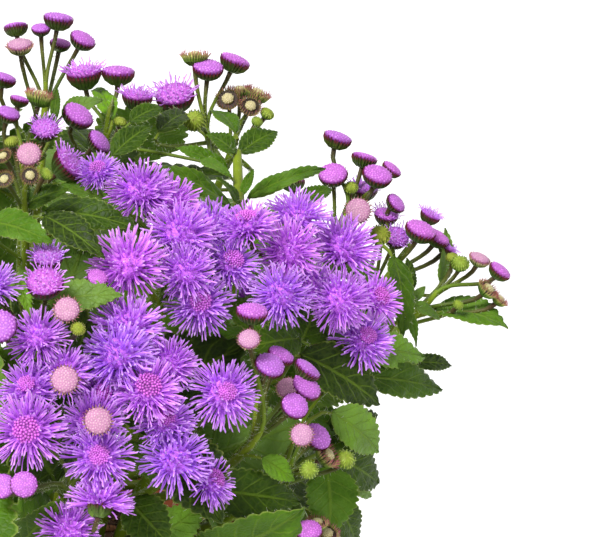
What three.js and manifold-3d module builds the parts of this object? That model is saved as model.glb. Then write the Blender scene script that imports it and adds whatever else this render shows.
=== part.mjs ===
// Ageratum (flossflower) in a plain pot, in millimetres, +Z up, the front towards -Y.
// Leafy shoots stand in the soil and branch to forks near a dome. From each fork grows a bunch of open
// heads, which lies on the dome, or a spray of buds, which stands out of it. The heads and leaves of the
// front right are set out by hand on a front sheet, a grid seen by an eye in front of the plant. Seeded
// rules do the rest.
import * as THREE from 'three';
import * as BufferGeometryUtils from 'three/addons/utils/BufferGeometryUtils.js';
import Module from 'manifold-3d';

const wasm = await Module();
wasm.setup();

// ---------------------------------------------------------------- driving dimensions
const POT_HEIGHT = 106;
const POT_RIM_RADIUS = 62;
const POT_FOOT_RADIUS = 45;
const POT_WALL = 2.2;
const POT_FLOOR = 3;
const POT_SIDES = 24;
const RIM_BAND_HEIGHT = 17;
const RIM_BAND_STEP = 2.4;
const RIM_BAND_SLOPE = 0.6;
const DRAIN_RADIUS = 4.5;
const DRAIN_RING = 27;
const DRAIN_HOLES = 4;
const DRAIN_SIDES = 8;
const SOIL_HOLE_SIDES = 5;
const SOIL_LEVEL = 96;
const SOIL_CROWN = 3;
const SOIL_EDGE = SOIL_LEVEL - 2;
const SOIL_SHOULDER = { reach: 0.6, rise: 0.4 };
const GAP = 0.3;
const SLIVER = 0.1;
const TWIN_REACH = 0.001;
const TWIN_SHIFT = 0.02;

const SHOOT_DEPTH = 20;
const SHOOT_RADIUS = 1.7;
const BRANCH_RADIUS = 1;
const STALK_RADIUS = 0.42;
const STEM_RADII = [SHOOT_RADIUS, SHOOT_RADIUS, 0.5 * (SHOOT_RADIUS + BRANCH_RADIUS)];
const STEM_FORKS_FROM = 0.75;
const BRANCH_TAPER = [1.15, 1, 0.9];
const BLOCK_WEIGHT = 0.5;
const CORNER_INSET = 0.1;
const NEARNESS_WEIGHT = 0.08;
const STALKS_END = 0.985;
const STALKS_STRETCH = 0.3;
const BRANCH_RINGS = [0.3, 0.6];
const LEAF_SPOTS = [0.3, 0.4, 0.5, 0.6, 0.7, 0.8, 0.9];
const SHOOT_RING_SHARE = 0.24;
const SHOOT_SPREAD_SHARE = 0.42;
const SHOOT_HEIGHT_SHARE = 0.5;
const BEND_OUT_SHARE = 0.75;
const BEND_UP_SHARE = 0.4;
const SIDE_FORK_SHARE = 0.85;

const DOME_RADIUS = 86;
const DOME_RISE = 60;
const DOME_CENTRE = 140;

const BUNCH_LEAST = 2.2;
const LEAF_THICKNESS = 1.1;
const LEAF_FOLD = 0.2;
const LONG_LEAF = 14;
const LEAF_ARCH = 0.07;
const LEAF_SKEW = 0.72;
const TEETH_START = 0.14;
const TEETH_RUN = 0.68;
const TOOTH_OUT = 1.08;
const TOOTH_NOTCH = 0.86;
const TOOTH_STEP = 0.05;
const FRONT_LEAF_UP = 0.3;
const FRONT_LEAF_TOWARD = 0.9;

// Shares of a head's width, or of the reach of its florets.
const CUP_HEIGHT_SHARE = 0.42;
const BUD_HEIGHT_SHARE = 0.62;
const BUD_SHOULDER = { height: 0.577, reach: 0.62 };
const BUD_PEAK = 0.645;
const GREEN_CUP_SHARE = 0.85;
const HALF_DEPTH_SHARE = 0.36;
const HALF_RIM = { height: 0.3, reach: 0.58 };
const HALF_SHOULDER = { height: 0.44, reach: 0.5 };
const HALF_PEAK = 0.52;
const HALF_FLORETS = { low: 0.35, high: 0.5 };
const OPEN_CUP_SHARE = 0.34;
const OPEN_CUP_DEPTH = 0.24;
const OPEN_DEPTH_SHARE = 0.1;
const TUFT_REACH = 0.46;
const TUFT_BELLY = 0.1;
const TUFT_SHOULDER = 0.24;
const TUFT_PEAK = 0.42;
const TUFT_DROOP = 0.12;
const HEAD_SIDES = 4;

const GRID = 0.2;
const SHEET_CENTRE = { across: 300, down: 268.5 };
const SHEET_FOOT = 545;
const SHEET_LEFT = -25;
const SHEET_TURNED_AWAY = -0.12;
const EYE_LIFT = THREE.MathUtils.degToRad(18);
const EYE_DISTANCE = 1100;
const AIM = new THREE.Vector3(60, 0, 163.6);

const RIGHT = new THREE.Vector3(1, 0, 0);
const UP = new THREE.Vector3(0, 0, 1);
const FRONT = new THREE.Vector3(0, -1, 0);
const LIFT = new THREE.Vector3(0, Math.sin(EYE_LIFT), Math.cos(EYE_LIFT));
const TOWARD = new THREE.Vector3(0, -Math.cos(EYE_LIFT), Math.sin(EYE_LIFT));
const EYE = AIM.clone().addScaledVector(TOWARD, EYE_DISTANCE);

// ---------------------------------------------------------------- the hand-set front right
// A bunch is [shoot, fork across, down, back, heads]; a head is
// [stage, across, down, width, lean right, lean toward, back], in squares of the sheet, back in millimetres.
// A bunch marked 'previous' forks off the branch of the one before it.
const BUNCHES = [
  ['crest', 46, 82, 20, [
    ['bud', 58, 21, 31, 0.15, -0.15, 0], ['bud', 41, 30, 20, 0, 0.15, 0],
    ['bud', 16, 29, 25, -0.15, -0.45, 2], ['pale', 20, 47, 26, -0.05, 0.15, -4],
    ['bud', 60, 45, 22, 0.2, 0, 6], ['bud', 82, 41, 28, 0.5, 0.15, 0], ['bud', 4, 80, 25, 0.35, -0.1, 14]]],
  ['crest', 22, 152, 11, [
    ['pale', 40, 98, 30, 0.25, -0.25, -4], ['bud', 19, 101, 20, 0.3, -0.2, -4],
    ['bud', 8, 115, 25, 0.35, 0.15, 0], ['half', 45, 130, 34, 0.1, 0.5, 0],
    ['half', 68, 165, 46, 1.1, 0.2, 6]]],
  ['brow', 108, 116, 10, [
    ['half', 84, 75, 43, -0.1, 0, -18], ['bud', 118, 75, 34, 0.05, -0.1, -18],
    ['half', 137, 98, 38, 0.1, 0, 0], ['bud', 77, 117, 34, 0.6, 0.3, 5],
    ['bud', 98, 143, 28, 1, 0.3, 12], ['green', 120, 122, 15, 0.2, 0.4, 4]]],
  ['brow', 24, 190, -3, [
    ['pale', 29, 155, 26, 0, 1.2, -10], ['green', 12, 142, 17, -0.2, 0.4, -8],
    ['pale', 4, 157, 17, -0.5, 0.6, -8], ['pale', 30, 176, 19, 0.1, 1.4, -11],
    ['green', 46, 174, 16, 0.6, 0.6, -8], ['pale', 5, 180, 18, -0.4, 1, -9]]],
  ['mast', 238, 128, 15, [
    ['pale', 228, 100, 24, -0.1, 1, -3], ['pale', 250, 107, 22, 0.3, 1, -3],
    ['pale', 257, 95, 26, 0.45, -0.15, 0], ['pale', 240, 92, 24, 0, -0.15, 2],
    ['green', 267, 114, 17, 0.6, 0.4, -2], ['green', 257, 122, 14, 0.4, 0.8, -4]]],
  ['mast', 206, 128, 20, [
    ['half', 175, 97, 48, -0.1, 0.3, 0], ['bud', 195, 58, 27, 0, -0.35, -2],
    ['bud', 208, 70, 32, 0.1, 0.15, -3], ['bud', 234, 63, 32, 0.4, -0.15, 0],
    ['green', 195, 121, 27, -0.2, 1.5, 10]], 'previous'],
  ['mass', 172, 262, 24, [
    ['open', 98, 170, 42, -0.2, 0.5, 4], ['open', 140, 188, 64, -0.1, 0.7, 0],
    ['open', 172, 200, 60, 0.2, 0.5, 3], ['open', 180, 232, 68, 0, 0.9, -1],
    ['open', 215, 225, 60, 0.4, 0.7, 2], ['open', 125, 263, 76, -0.5, 1, 0],
    ['open', 186, 270, 60, 0.1, 1.1, 0], ['open', 232, 262, 56, 0.5, 0.9, 3],
    ['open', 200, 303, 62, 0.2, 1.6, 5]]],
  ['shoulder', 308, 268, 24, [
    ['open', 247, 222, 58, -0.1, 0.15, -6], ['open', 298, 213, 62, 0.1, 0.3, 2],
    ['open', 288, 250, 64, -0.1, 1.5, -3], ['open', 345, 245, 70, 0.5, 0.6, 1],
    ['open', 280, 295, 60, -0.2, 2, -3], ['open', 312, 284, 54, 0.2, 0.9, 3],
    ['open', 340, 300, 60, 0.2, 2, -3], ['open', 378, 298, 54, 1, 0.8, 1],
    ['open', 365, 338, 60, 0.6, 1.1, 2]]],
  ['shoulder', 348, 212, 15, [
    ['bud', 337, 140, 30, 0.35, -0.1, 0], ['bud', 333, 176, 31, -0.05, 0.45, -5],
    ['bud', 364, 160, 27, 0.3, -0.3, 1], ['bud', 377, 177, 32, 0.3, 0.25, -2],
    ['bud', 391, 170, 22, 0.75, 0, 2], ['green', 351, 188, 17, 0, 0.8, -4],
    ['half', 364, 190, 34, 0.1, 0.1, 4], ['pale', 358, 211, 27, 0, 2, -3],
    ['bud', 293, 184, 25, -0.1, -0.5, 16]]],
  ['flank', 398, 260, 2, [
    ['bud', 395, 204, 23, 1, 0.35, 0], ['half', 386, 216, 30, 0.2, 0.2, 3],
    ['half', 396, 238, 32, 0.3, 0.6, 2], ['green', 380, 235, 25, 0.2, 1.1, -5],
    ['bud', 420, 232, 33, 0.4, 0.15, -2], ['bud', 437, 239, 26, 0.6, 0.1, 3],
    ['half', 430, 216, 26, 0.5, 0, 2], ['half', 447, 248, 24, 0.8, 0, 5]]],
  ['flank', 438, 291, 0, [
    ['green', 460, 264, 22, 0.1, 0.7, -2], ['pale', 479, 260, 22, 0.4, 0.1, 0],
    ['bud', 499, 272, 25, 0.75, 0.05, 0], ['pale', 487, 290, 23, 0.9, 0.15, -2],
    ['pale', 499, 300, 18, 0.9, 0, 0], ['green', 458, 305, 13, 0.3, 0.8, -3],
    ['green', 452, 258, 15, -0.1, 0.5, 2]]],
  ['left', 38, 330, 12, [
    ['half', 48, 258, 38, 0, 0.35, 0], ['half', 45, 284, 46, 0, 0.55, -3],
    ['bud', 97, 279, 22, 0.3, 0.6, 0], ['pale', 67, 310, 27, 0, 1.5, -5],
    ['green', 78, 329, 18, 0.2, 1, -4], ['open', -8, 283, 52, -0.3, 0.5, 0],
    ['bud', 0, 328, 38, -0.2, 1, -3], ['open', 37, 335, 58, -0.2, 0.8, 0]]],
  ['heart', 112, 402, 26, [
    ['open', 130, 322, 70, 0.1, 0.4, 2], ['open', 118, 352, 74, -0.1, 0.8, 0],
    ['open', 172, 362, 56, 0.5, 0.8, 2], ['open', 62, 370, 58, -0.2, 0.9, 2],
    ['pale', 65, 380, 29, 0, 1.8, -7], ['open', 148, 388, 66, 0.2, 1, -1],
    ['open', 102, 396, 56, 0, 1, 5], ['open', 28, 388, 60, -0.3, 0.9, 2]]],
  ['skirt', 70, 484, 24, [
    ['open', 27, 430, 70, -0.15, 2.2, -3], ['open', 93, 422, 64, 0, 1, 1],
    ['pale', 98, 421, 29, 0.1, 2, -7], ['open', 99, 456, 66, 0.05, 2.1, -2],
    ['open', 102, 497, 62, 0.2, -0.5, -1], ['bud', 24, 485, 29, 0.1, 1.5, -6],
    ['bud', 3, 487, 28, -0.3, 1.2, -4], ['open', 68, 530, 60, 0, 1.5, 0]]],
  ['thigh', 182, 452, 24, [
    ['open', 225, 393, 66, 0.5, 1.9, -2], ['open', 165, 420, 58, 0.1, 0.9, 2],
    ['open', 175, 458, 66, 0.1, 1.4, 0], ['open', 213, 480, 52, 1.4, 0.7, 2]]],
  ['thigh', 262, 430, 4, [
    ['bud', 252, 314, 33, 0.1, 0.1, -4], ['pale', 249, 340, 23, 0, 0.9, -6],
    ['bud', 269, 367, 32, 0.4, 0.5, -3], ['bud', 280, 357, 29, 0.5, 0.1, 3],
    ['bud', 306, 371, 30, 0.75, -0.05, 0], ['bud', 305, 389, 33, 0.6, 0.4, 0],
    ['pale', 288, 389, 24, 0, 0.9, 2], ['bud', 294, 407, 30, 0.5, 0.8, -2]]],
  ['hip', 292, 462, 4, [
    ['pale', 302, 435, 24, 0, 2, -4], ['bud', 316, 438, 32, 0.8, 0.6, 1],
    ['pale', 326, 456, 28, 1.2, 0.3, 0], ['green', 309, 470, 23, 0.1, 1.5, -4],
    ['green', 345, 460, 25, 0.3, 1, -2]]],
  ['hip', 318, 562, 4, [
    ['bud', 309, 532, 28, 0, 0.5, 0], ['pale', 326, 535, 26, 0.3, 0.5, 0],
    ['pale', 317, 524, 22, 0.1, 0.1, 3]]],
];

// A leaf is [across and down of its blade's foot, across and down of its tip, width, back of foot, back
// of tip].
const FRONT_LEAVES = [
  [230, 206, 144, 163, 27, 12, 2], [247, 198, 327, 166, 19, 14, -22], [240, 207, 219, 177, 12, 10, -1],
  [241, 196, 254, 168, 10, 9, 0], [200, 160, 232, 176, 14, 6, 4], [236, 153, 207, 133, 24, 2, -2],
  [240, 153, 278, 130, 28, 6, -21], [62, 115, 103, 98, 22, 7, -1], [54, 122, 57, 86, 10, 4, -13],
  [130, 122, 163, 106, 22, 9, -2], [112, 156, 152, 124, 28, 9, -2], [24, 205, 68, 188, 26, 4, -3],
  [45, 212, 137, 226, 38, 10, 4], [-12, 222, 50, 240, 38, 2, -6], [44, 216, 104, 256, 36, 0, -4],
  [48, 302, 122, 294, 36, 6, -2], [18, 278, 31, 317, 15, 2, 2], [436, 308, 508, 325, 44, 4, 0],
  [441, 284, 447, 228, 19, 6, 4], [411, 304, 441, 319, 14, 4, -2], [409, 292, 408, 257, 15, 6, -1],
  [411, 301, 426, 286, 10, 5, -4], [393, 256, 404, 338, 30, -4, 13], [400, 300, 418, 346, 14, 10, 8],
  [298, 203, 333, 188, 20, 9, -11], [350, 350, 428, 356, 38, 12, -19], [352, 376, 446, 389, 38, 13, -14],
  [412, 362, 453, 365, 18, 14, 0], [300, 354, 382, 404, 56, 14, 4], [332, 412, 381, 452, 46, 10, 4],
  [326, 452, 382, 484, 46, 12, 6], [326, 466, 330, 536, 60, 12, 2], [332, 496, 358, 548, 32, 13, 2],
  [345, 482, 373, 498, 14, 16, 14], [168, 440, 222, 522, 72, 12, 0], [204, 488, 302, 502, 50, 12, 3],
  [262, 458, 295, 481, 24, 6, 2], [16, 548, 60, 501, 34, 9, 2], [300, 338, 246, 348, 40, 11, 11],
  [230, 300, 262, 336, 34, 14, 10], [128, 500, 170, 545, 48, 12, 4], [262, 404, 222, 420, 34, 16, 12],
  [316, 442, 380, 414, 40, 18, 12], [294, 358, 318, 300, 46, 18, 13], [158, 132, 190, 112, 26, 13, 8],
  [236, 133, 210, 109, 22, 1, -3],
];

// The right-hand outline of the front sheet, as [down, across], behind which all that is set by rule stays.
const OUTLINE = [
  [-60, 20], [60, 60], [85, 215], [130, 240], [195, 255], [215, 340], [250, 430], [330, 440], [360, 405],
  [400, 368], [455, 355], [500, 342], [545, 330],
];
const TUCK_STEP = 0.97;
const TUCK_STEPS = 16;

// ---------------------------------------------------------------- seeded rules for the rest of the dome
const DOME_SITES = 34;
const DOME_LOWEST = -0.44;
const GOLDEN_TURN = Math.PI * (3 - Math.sqrt(5));
const SITE_KINDS = ['bunch', 'tuft', 'spray', 'tuft'];
const BUNCH_HEADS = 5;
const TUFT_SIDES = 4;
const RULE_TUFT_SIDES = 3;
const MIDDLE_SPREAD = 0.15;
const SPREAD_RANGE = [0.9, 1.1];
const OPEN_RANGE = [0.88, 1.08];
const BUD_LIFT = 0.3;
const HEAD_ROOM_SHARE = 0.49;
const BUNCH_SPACING = 11.5;
const BUNCH_FORK_DEPTH = 19;
const BUNCH_MIDDLE_RISE = 2.5;
const BUNCH_UNEVENNESS = 3;
const BUNCH_LEAN = { normal: 0.9, up: 0.35, aside: 0.3 };
const OPEN_WIDTH = 14;
const SPRAY_HEADS = 5;
const SPRAY_FORK_DEPTH = 9;
const SPRAY_REACH = 15;
const SPRAY_UNEVENNESS = 6;
const SPRAY_LEAN = { normal: 0.5, up: 0.8, aside: 0.0625 };
const SPRAY_STAGES = [['half', 0.16], ['pale', 0.32], ['green', 0.42], ['bud', 1]];
const STAGE_SIZES = { half: 1.25, pale: 0.75, green: 0.6, bud: 1 };
const TUFT_FORK_DEPTH = 10;
const TUFTS_BELOW = -0.3;
const INNER_LEAVES = 3;
const INNER_REACH = 0.88;
const INNER_SEED = 2311;
const RIM_TUFTS = 11;
const RIM_TUFT_RADIUS = 52;
const RIM_TUFT_HEIGHT = 14;
const RIM_TUFT_STAGGER = 7;
const BUD_WIDTH = 6.2;
const TUFT_LEAVES = 3;
const BUNCH_LEAVES = 2;
const LEAF_CLEARANCE = 1.6;
const LEAF_ROOT_ROOM = 4;
const LEAF_STALK_SHARE = 0.22;
const LEAF_DROOP = 0.2;
const LEAF_STEP = 0.05;
const HEAD_ROOM = { open: 0.42, half: 0.5, bud: 0.5, pale: 0.5, green: 0.5 };
const STALK_ROOM = [0.3, 0.5, 0.7];
const BRANCH_ROOM_STEPS = 10;
const LEAF_ROOM = [[0.05, 0], [0.25, 0.3], [0.5, 0.4], [0.75, 0.25], [1, 0]];
const LEAF_TRIALS = [
  [0, 0.95], [0.5, 0.95], [-0.5, 0.95], [1, 0.9], [-1, 0.9], [0, 0.8], [0.5, 0.8], [-0.5, 0.8], [1.6, 0.8],
  [0, 0.65], [0.7, 0.65], [-0.7, 0.65], [1.5, 0.6], [2.5, 0.7], [3.1, 0.9],
];
const LEAF_LENGTH = 31;
const LEAF_RANGE = [0.8, 1.15];
const LEAF_LEAN_RANGE = [0.3, 0.7];
const LEAF_FACE_LIFT = 0.3;
const LEAF_WIDTH_SHARE = 0.66;
const SECTOR_COUNT = 6;
const FIRST_SEED = 101;
const SEED_STEP = 17;

// ---------------------------------------------------------------- small helpers
// Repeatable draws in [0, 1).
function drawsFrom(seed) {
  let state = seed;
  return () => {
    state = (state * 1664525 + 1013904223) % 4294967296;
    return state / 4294967296;
  };
}

// The point on the dome, or nearest to it, on the eye's line of sight through a square of the front sheet.
function onSheet(across, down, back) {
  const target = AIM.clone()
    .addScaledVector(RIGHT, (across - SHEET_CENTRE.across) * GRID)
    .addScaledVector(LIFT, (SHEET_CENTRE.down - down) * GRID);
  const ray = target.sub(EYE).normalize();
  const squash = DOME_RADIUS / DOME_RISE;
  const start = new THREE.Vector3(EYE.x, EYE.y, (EYE.z - DOME_CENTRE) * squash);
  const step = new THREE.Vector3(ray.x, ray.y, ray.z * squash);
  const a = step.dot(step);
  const b = start.dot(step);
  const c = start.dot(start) - DOME_RADIUS ** 2;
  const reach = (-b - Math.sqrt(Math.max(0, b * b - a * c))) / a + back;
  return { at: EYE.clone().addScaledVector(ray, reach), scale: GRID * reach / EYE_DISTANCE };
}

// The square of the front sheet through which the eye sees a point.
function sheetSquare(point) {
  const ray = point.clone().sub(EYE);
  const offset = ray.multiplyScalar(EYE_DISTANCE / -ray.dot(TOWARD)).add(EYE).sub(AIM);
  return {
    across: SHEET_CENTRE.across + offset.dot(RIGHT) / GRID,
    down: SHEET_CENTRE.down - offset.dot(LIFT) / GRID,
  };
}

// Whether a point of the dome lies in the part that the front sheet sets out by hand.
function isOnSheet(point, normal) {
  const { across, down } = sheetSquare(point);
  return normal.dot(TOWARD) > SHEET_TURNED_AWAY && across > SHEET_LEFT && down < SHEET_FOOT;
}

// Whether a point with some room round it is below the front sheet or within its right-hand outline.
function isWithinOutline(point, room) {
  const { across, down } = sheetSquare(point);
  const next = OUTLINE.findIndex(([height]) => height > down);
  if (next < 1) {
    return next < 0;
  }
  const [[fromDown, from], [toDown, to]] = OUTLINE.slice(next - 1, next + 1);
  return across + room / GRID < THREE.MathUtils.mapLinear(down, fromDown, toDown, from, to);
}

function domePoint(cosine, turn) {
  const sine = Math.sqrt(1 - cosine * cosine);
  return new THREE.Vector3(
    DOME_RADIUS * sine * Math.cos(turn),
    DOME_RADIUS * sine * Math.sin(turn),
    DOME_CENTRE + DOME_RISE * cosine,
  );
}

function domeNormal(point) {
  const height = (point.z - DOME_CENTRE) * (DOME_RADIUS / DOME_RISE) ** 2;
  return new THREE.Vector3(point.x, point.y, height).normalize();
}

// How far out a point lies from the dome's middle, where the dome is at 1.
function domeReach(point) {
  const height = (point.z - DOME_CENTRE) * DOME_RADIUS / DOME_RISE;
  return Math.hypot(point.x, point.y, height) / DOME_RADIUS;
}

// Moves a point towards the pot's axis until it lies within the outline.
function tuckIn(point) {
  const tucked = point.clone();
  for (let i = 0; i < TUCK_STEPS && !isWithinOutline(tucked, OPEN_WIDTH / 2); i += 1) {
    tucked.multiply(new THREE.Vector3(TUCK_STEP, TUCK_STEP, 1));
  }
  return tucked;
}

// Moves a point straight to or from the dome's middle until it lies a given reach out.
function settle(point, reach) {
  const share = reach / domeReach(point);
  return new THREE.Vector3(point.x * share, point.y * share, DOME_CENTRE + (point.z - DOME_CENTRE) * share);
}

function between([low, high], share) {
  return low + (high - low) * share;
}

function mix(a, b, share) {
  return a.clone().lerp(b, share);
}

// Two directions square to an axis, the first as near as can be to a wanted one.
function crossAxes(axis, wanted) {
  const across = wanted.clone().addScaledVector(axis, -wanted.dot(axis));
  if (across.lengthSq() < 1e-6) {
    across.copy(Math.abs(axis.z) < 0.8 ? UP : RIGHT).addScaledVector(axis, -across.dot(axis));
    across.addScaledVector(axis, -across.dot(axis));
  }
  across.normalize();
  return [across, new THREE.Vector3().crossVectors(axis, across)];
}

// ---------------------------------------------------------------- the plan of heads, stems and leaves
function handSetBunches() {
  return BUNCHES.map(([shoot, across, down, back, heads, origin], i) => ({
    shoot,
    origin,
    fork: onSheet(across, down, back).at,
    normal: domeNormal(onSheet(across, down, back).at),
    draw: drawsFrom(INNER_SEED + i),
    leafCount: INNER_LEAVES,
    leafReach: INNER_REACH,
    leaves: [],
    heads: heads.map(([stage, headAcross, headDown, width, leanRight, leanToward, headBack]) => {
      const { at, scale } = onSheet(headAcross, headDown, headBack);
      const axis = new THREE.Vector3(leanRight, -leanToward, 1).normalize();
      return { stage, at, width: width * scale, axis };
    }),
  }));
}

// A direction between a surface's normal, straight up and aside, by their weights.
function leaning(normal, aside, weights) {
  return normal.clone().multiplyScalar(weights.normal).addScaledVector(UP, weights.up)
    .addScaledVector(aside, weights.aside);
}

function ruleSetBunch(site, normal, kind, draw) {
  const [east, north] = crossAxes(normal, UP);
  const heads = [];
  const count = kind === 'bunch' ? BUNCH_HEADS : SPRAY_HEADS;
  const fork = site.clone().addScaledVector(normal, kind === 'bunch' ? -BUNCH_FORK_DEPTH : -SPRAY_FORK_DEPTH);
  for (let i = 0; i < count; i += 1) {
    const turn = (i + 0.5 * draw()) * 2 * Math.PI / (count - 1);
    const spread = (i === 0 ? MIDDLE_SPREAD : between(SPREAD_RANGE, draw())) * BUNCH_SPACING;
    const aside = east.clone().multiplyScalar(Math.cos(turn)).addScaledVector(north, Math.sin(turn));
    if (kind === 'bunch') {
      const at = settle(site.clone().addScaledVector(aside, spread), domeReach(site));
      at.addScaledVector(normal, (i === 0 ? BUNCH_MIDDLE_RISE : 0) + BUNCH_UNEVENNESS * (draw() - 0.5));
      const axis = leaning(normal, aside, BUNCH_LEAN).normalize();
      heads.push({ stage: 'open', at, width: OPEN_WIDTH * between(OPEN_RANGE, draw()), axis, isGrown: true });
    } else {
      const rise = leaning(normal, aside.multiplyScalar(spread), SPRAY_LEAN).normalize();
      const at = fork.clone().addScaledVector(rise, SPRAY_REACH + SPRAY_UNEVENNESS * draw());
      const pick = draw();
      const [stage] = SPRAY_STAGES.find(([, share]) => pick < share);
      const width = BUD_WIDTH * STAGE_SIZES[stage] * between(SPREAD_RANGE, draw());
      heads.push({ stage, at, width, axis: rise.addScaledVector(UP, BUD_LIFT).normalize() });
    }
  }
  for (const head of heads) {
    const others = heads.filter((other) => other !== head);
    head.room = HEAD_ROOM_SHARE * Math.min(...others.map((other) => other.at.distanceTo(head.at)));
  }
  return { fork, heads: heads.filter(({ at, width }) => isWithinOutline(at, width / 2)) };
}

// Sites spread evenly over the dome outside the hand-set part, each for a bunch, a spray or a tuft of leaves.
function domeSites() {
  const sites = [];
  for (let i = 0; i < DOME_SITES; i += 1) {
    const cosine = 1 + (DOME_LOWEST - 1) * (i + 0.5) / DOME_SITES;
    const site = domePoint(cosine, i * GOLDEN_TURN);
    const normal = domeNormal(site);
    if (!isOnSheet(site, normal)) {
      const kind = cosine < TUFTS_BELOW ? 'tuft' : SITE_KINDS[i % SITE_KINDS.length];
      sites.push({ site: tuckIn(site), normal, depth: TUFT_FORK_DEPTH, kind, seed: i });
    }
  }
  return sites;
}

// Tufts of leaves in a ring just above the pot's rim.
function rimSites() {
  return Array.from({ length: RIM_TUFTS }, (_, i) => {
    const turn = i * 2 * Math.PI / RIM_TUFTS;
    const normal = new THREE.Vector3(Math.cos(turn), Math.sin(turn), 0);
    const site = normal.clone().multiplyScalar(RIM_TUFT_RADIUS)
      .setZ(POT_HEIGHT + RIM_TUFT_HEIGHT + RIM_TUFT_STAGGER * (i % 2));
    return { site: tuckIn(site), normal, depth: 0, kind: 'tuft', seed: DOME_SITES + i };
  });
}

function ruleSetBunches() {
  return [...domeSites(), ...rimSites()].map(({ site, normal, depth, kind, seed }) => {
    const draw = drawsFrom(FIRST_SEED + SEED_STEP * seed);
    const turn = Math.atan2(site.y, site.x) / (2 * Math.PI);
    const sector = Math.floor((turn + 1) * SECTOR_COUNT) % SECTOR_COUNT;
    const leafCount = kind === 'tuft' ? TUFT_LEAVES : BUNCH_LEAVES;
    const bunch = { shoot: `sector_${sector + 1}`, normal, draw, leafCount, leaves: [], heads: [] };
    return kind === 'tuft'
      ? { ...bunch, fork: site.clone().addScaledVector(normal, -depth) }
      : { ...bunch, ...ruleSetBunch(site, normal, kind, draw) };
  });
}

// Stalks leave the last stretch of their branch one above the other, those of the highest heads last.
function stalkRoots({ fork, heads }, curve) {
  const heights = heads.map(({ at }) => at.clone().sub(fork).dot(curve.getTangent(1)));
  const order = [...heights].sort((a, b) => a - b);
  const last = Math.max(1, heads.length - 1);
  return heights.map((height) => (
    curve.getPoint(STALKS_END - STALKS_STRETCH * (1 - order.indexOf(height) / last))
  ));
}

// Shoots stand in a ring in the soil, each leaning towards the middle of the forks that it carries.
function planShoots(bunches) {
  const names = [...new Set(bunches.map((bunch) => bunch.shoot))];
  return names.map((name) => {
    const own = bunches.filter((bunch) => bunch.shoot === name);
    const middle = own.reduce((sum, bunch) => sum.add(bunch.fork), new THREE.Vector3())
      .divideScalar(own.length);
    const foot = middle.clone().multiplyScalar(SHOOT_RING_SHARE).setZ(SOIL_LEVEL - SHOOT_DEPTH);
    const knee = new THREE.Vector3(foot.x, foot.y, SOIL_LEVEL + 2 * SOIL_CROWN);
    const head = middle.clone().multiplyScalar(SHOOT_SPREAD_SHARE)
      .setZ(THREE.MathUtils.lerp(SOIL_LEVEL, middle.z, SHOOT_HEIGHT_SHARE));
    const branches = [];
    for (const bunch of own) {
      const before = branches[branches.length - 1];
      const start = bunch.origin ? before.curve.getPoint(SIDE_FORK_SHARE) : head;
      const bend = mix(start, bunch.fork, BEND_OUT_SHARE)
        .setZ(THREE.MathUtils.lerp(start.z, bunch.fork.z, BEND_UP_SHARE));
      const curve = new THREE.QuadraticBezierCurve3(start, bend, bunch.fork);
      branches.push({ bunch, curve, roots: stalkRoots(bunch, curve) });
    }
    return { name, stem: [foot, knee, head], branches };
  });
}

// Each hand-set leaf grows from the nearest spot of the branches.
function addFrontLeaves(shoots) {
  const spots = shoots.flatMap((shoot) => shoot.branches.flatMap(({ bunch, curve }) => (
    LEAF_SPOTS.map((share) => ({ bunch, at: curve.getPoint(share) }))
  )));
  for (const [footAcross, footDown, tipAcross, tipDown, width, footBack, tipBack] of FRONT_LEAVES) {
    const { at: foot, scale } = onSheet(footAcross, footDown, footBack);
    const tip = onSheet(tipAcross, tipDown, tipBack).at;
    const face = domeNormal(mix(foot, tip, 0.5)).addScaledVector(UP, FRONT_LEAF_UP)
      .addScaledVector(TOWARD, FRONT_LEAF_TOWARD).normalize();
    const distance = ({ at }) => at.distanceToSquared(foot);
    const nearest = spots.reduce((best, spot) => (distance(spot) < distance(best) ? spot : best));
    spots.splice(spots.indexOf(nearest), 1);
    const { bunch, at: root } = nearest;
    const teeth = foot.distanceTo(tip) > LONG_LEAF ? 3 : 2;
    bunch.leaves.push({ root, foot, tip, width: width * scale, face, teeth });
  }
}

// Places inside a leaf, each with the room it needs.
function leafRoom(leaf) {
  const { foot, tip, width, face } = leaf;
  const way = tip.clone().sub(foot).normalize();
  const [up] = crossAxes(way, face);
  const side = new THREE.Vector3().crossVectors(way, up);
  const room = [];
  for (const [share, spread] of LEAF_ROOM) {
    const rise = LEAF_ARCH * foot.distanceTo(tip) * 4 * share * (1 - share);
    const middle = mix(foot, tip, share).addScaledVector(up, rise);
    for (const sign of spread ? [-1, 0, 1] : [0]) {
      room.push({ at: middle.clone().addScaledVector(side, sign * spread * width), radius: LEAF_CLEARANCE });
    }
  }
  return room;
}

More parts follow.
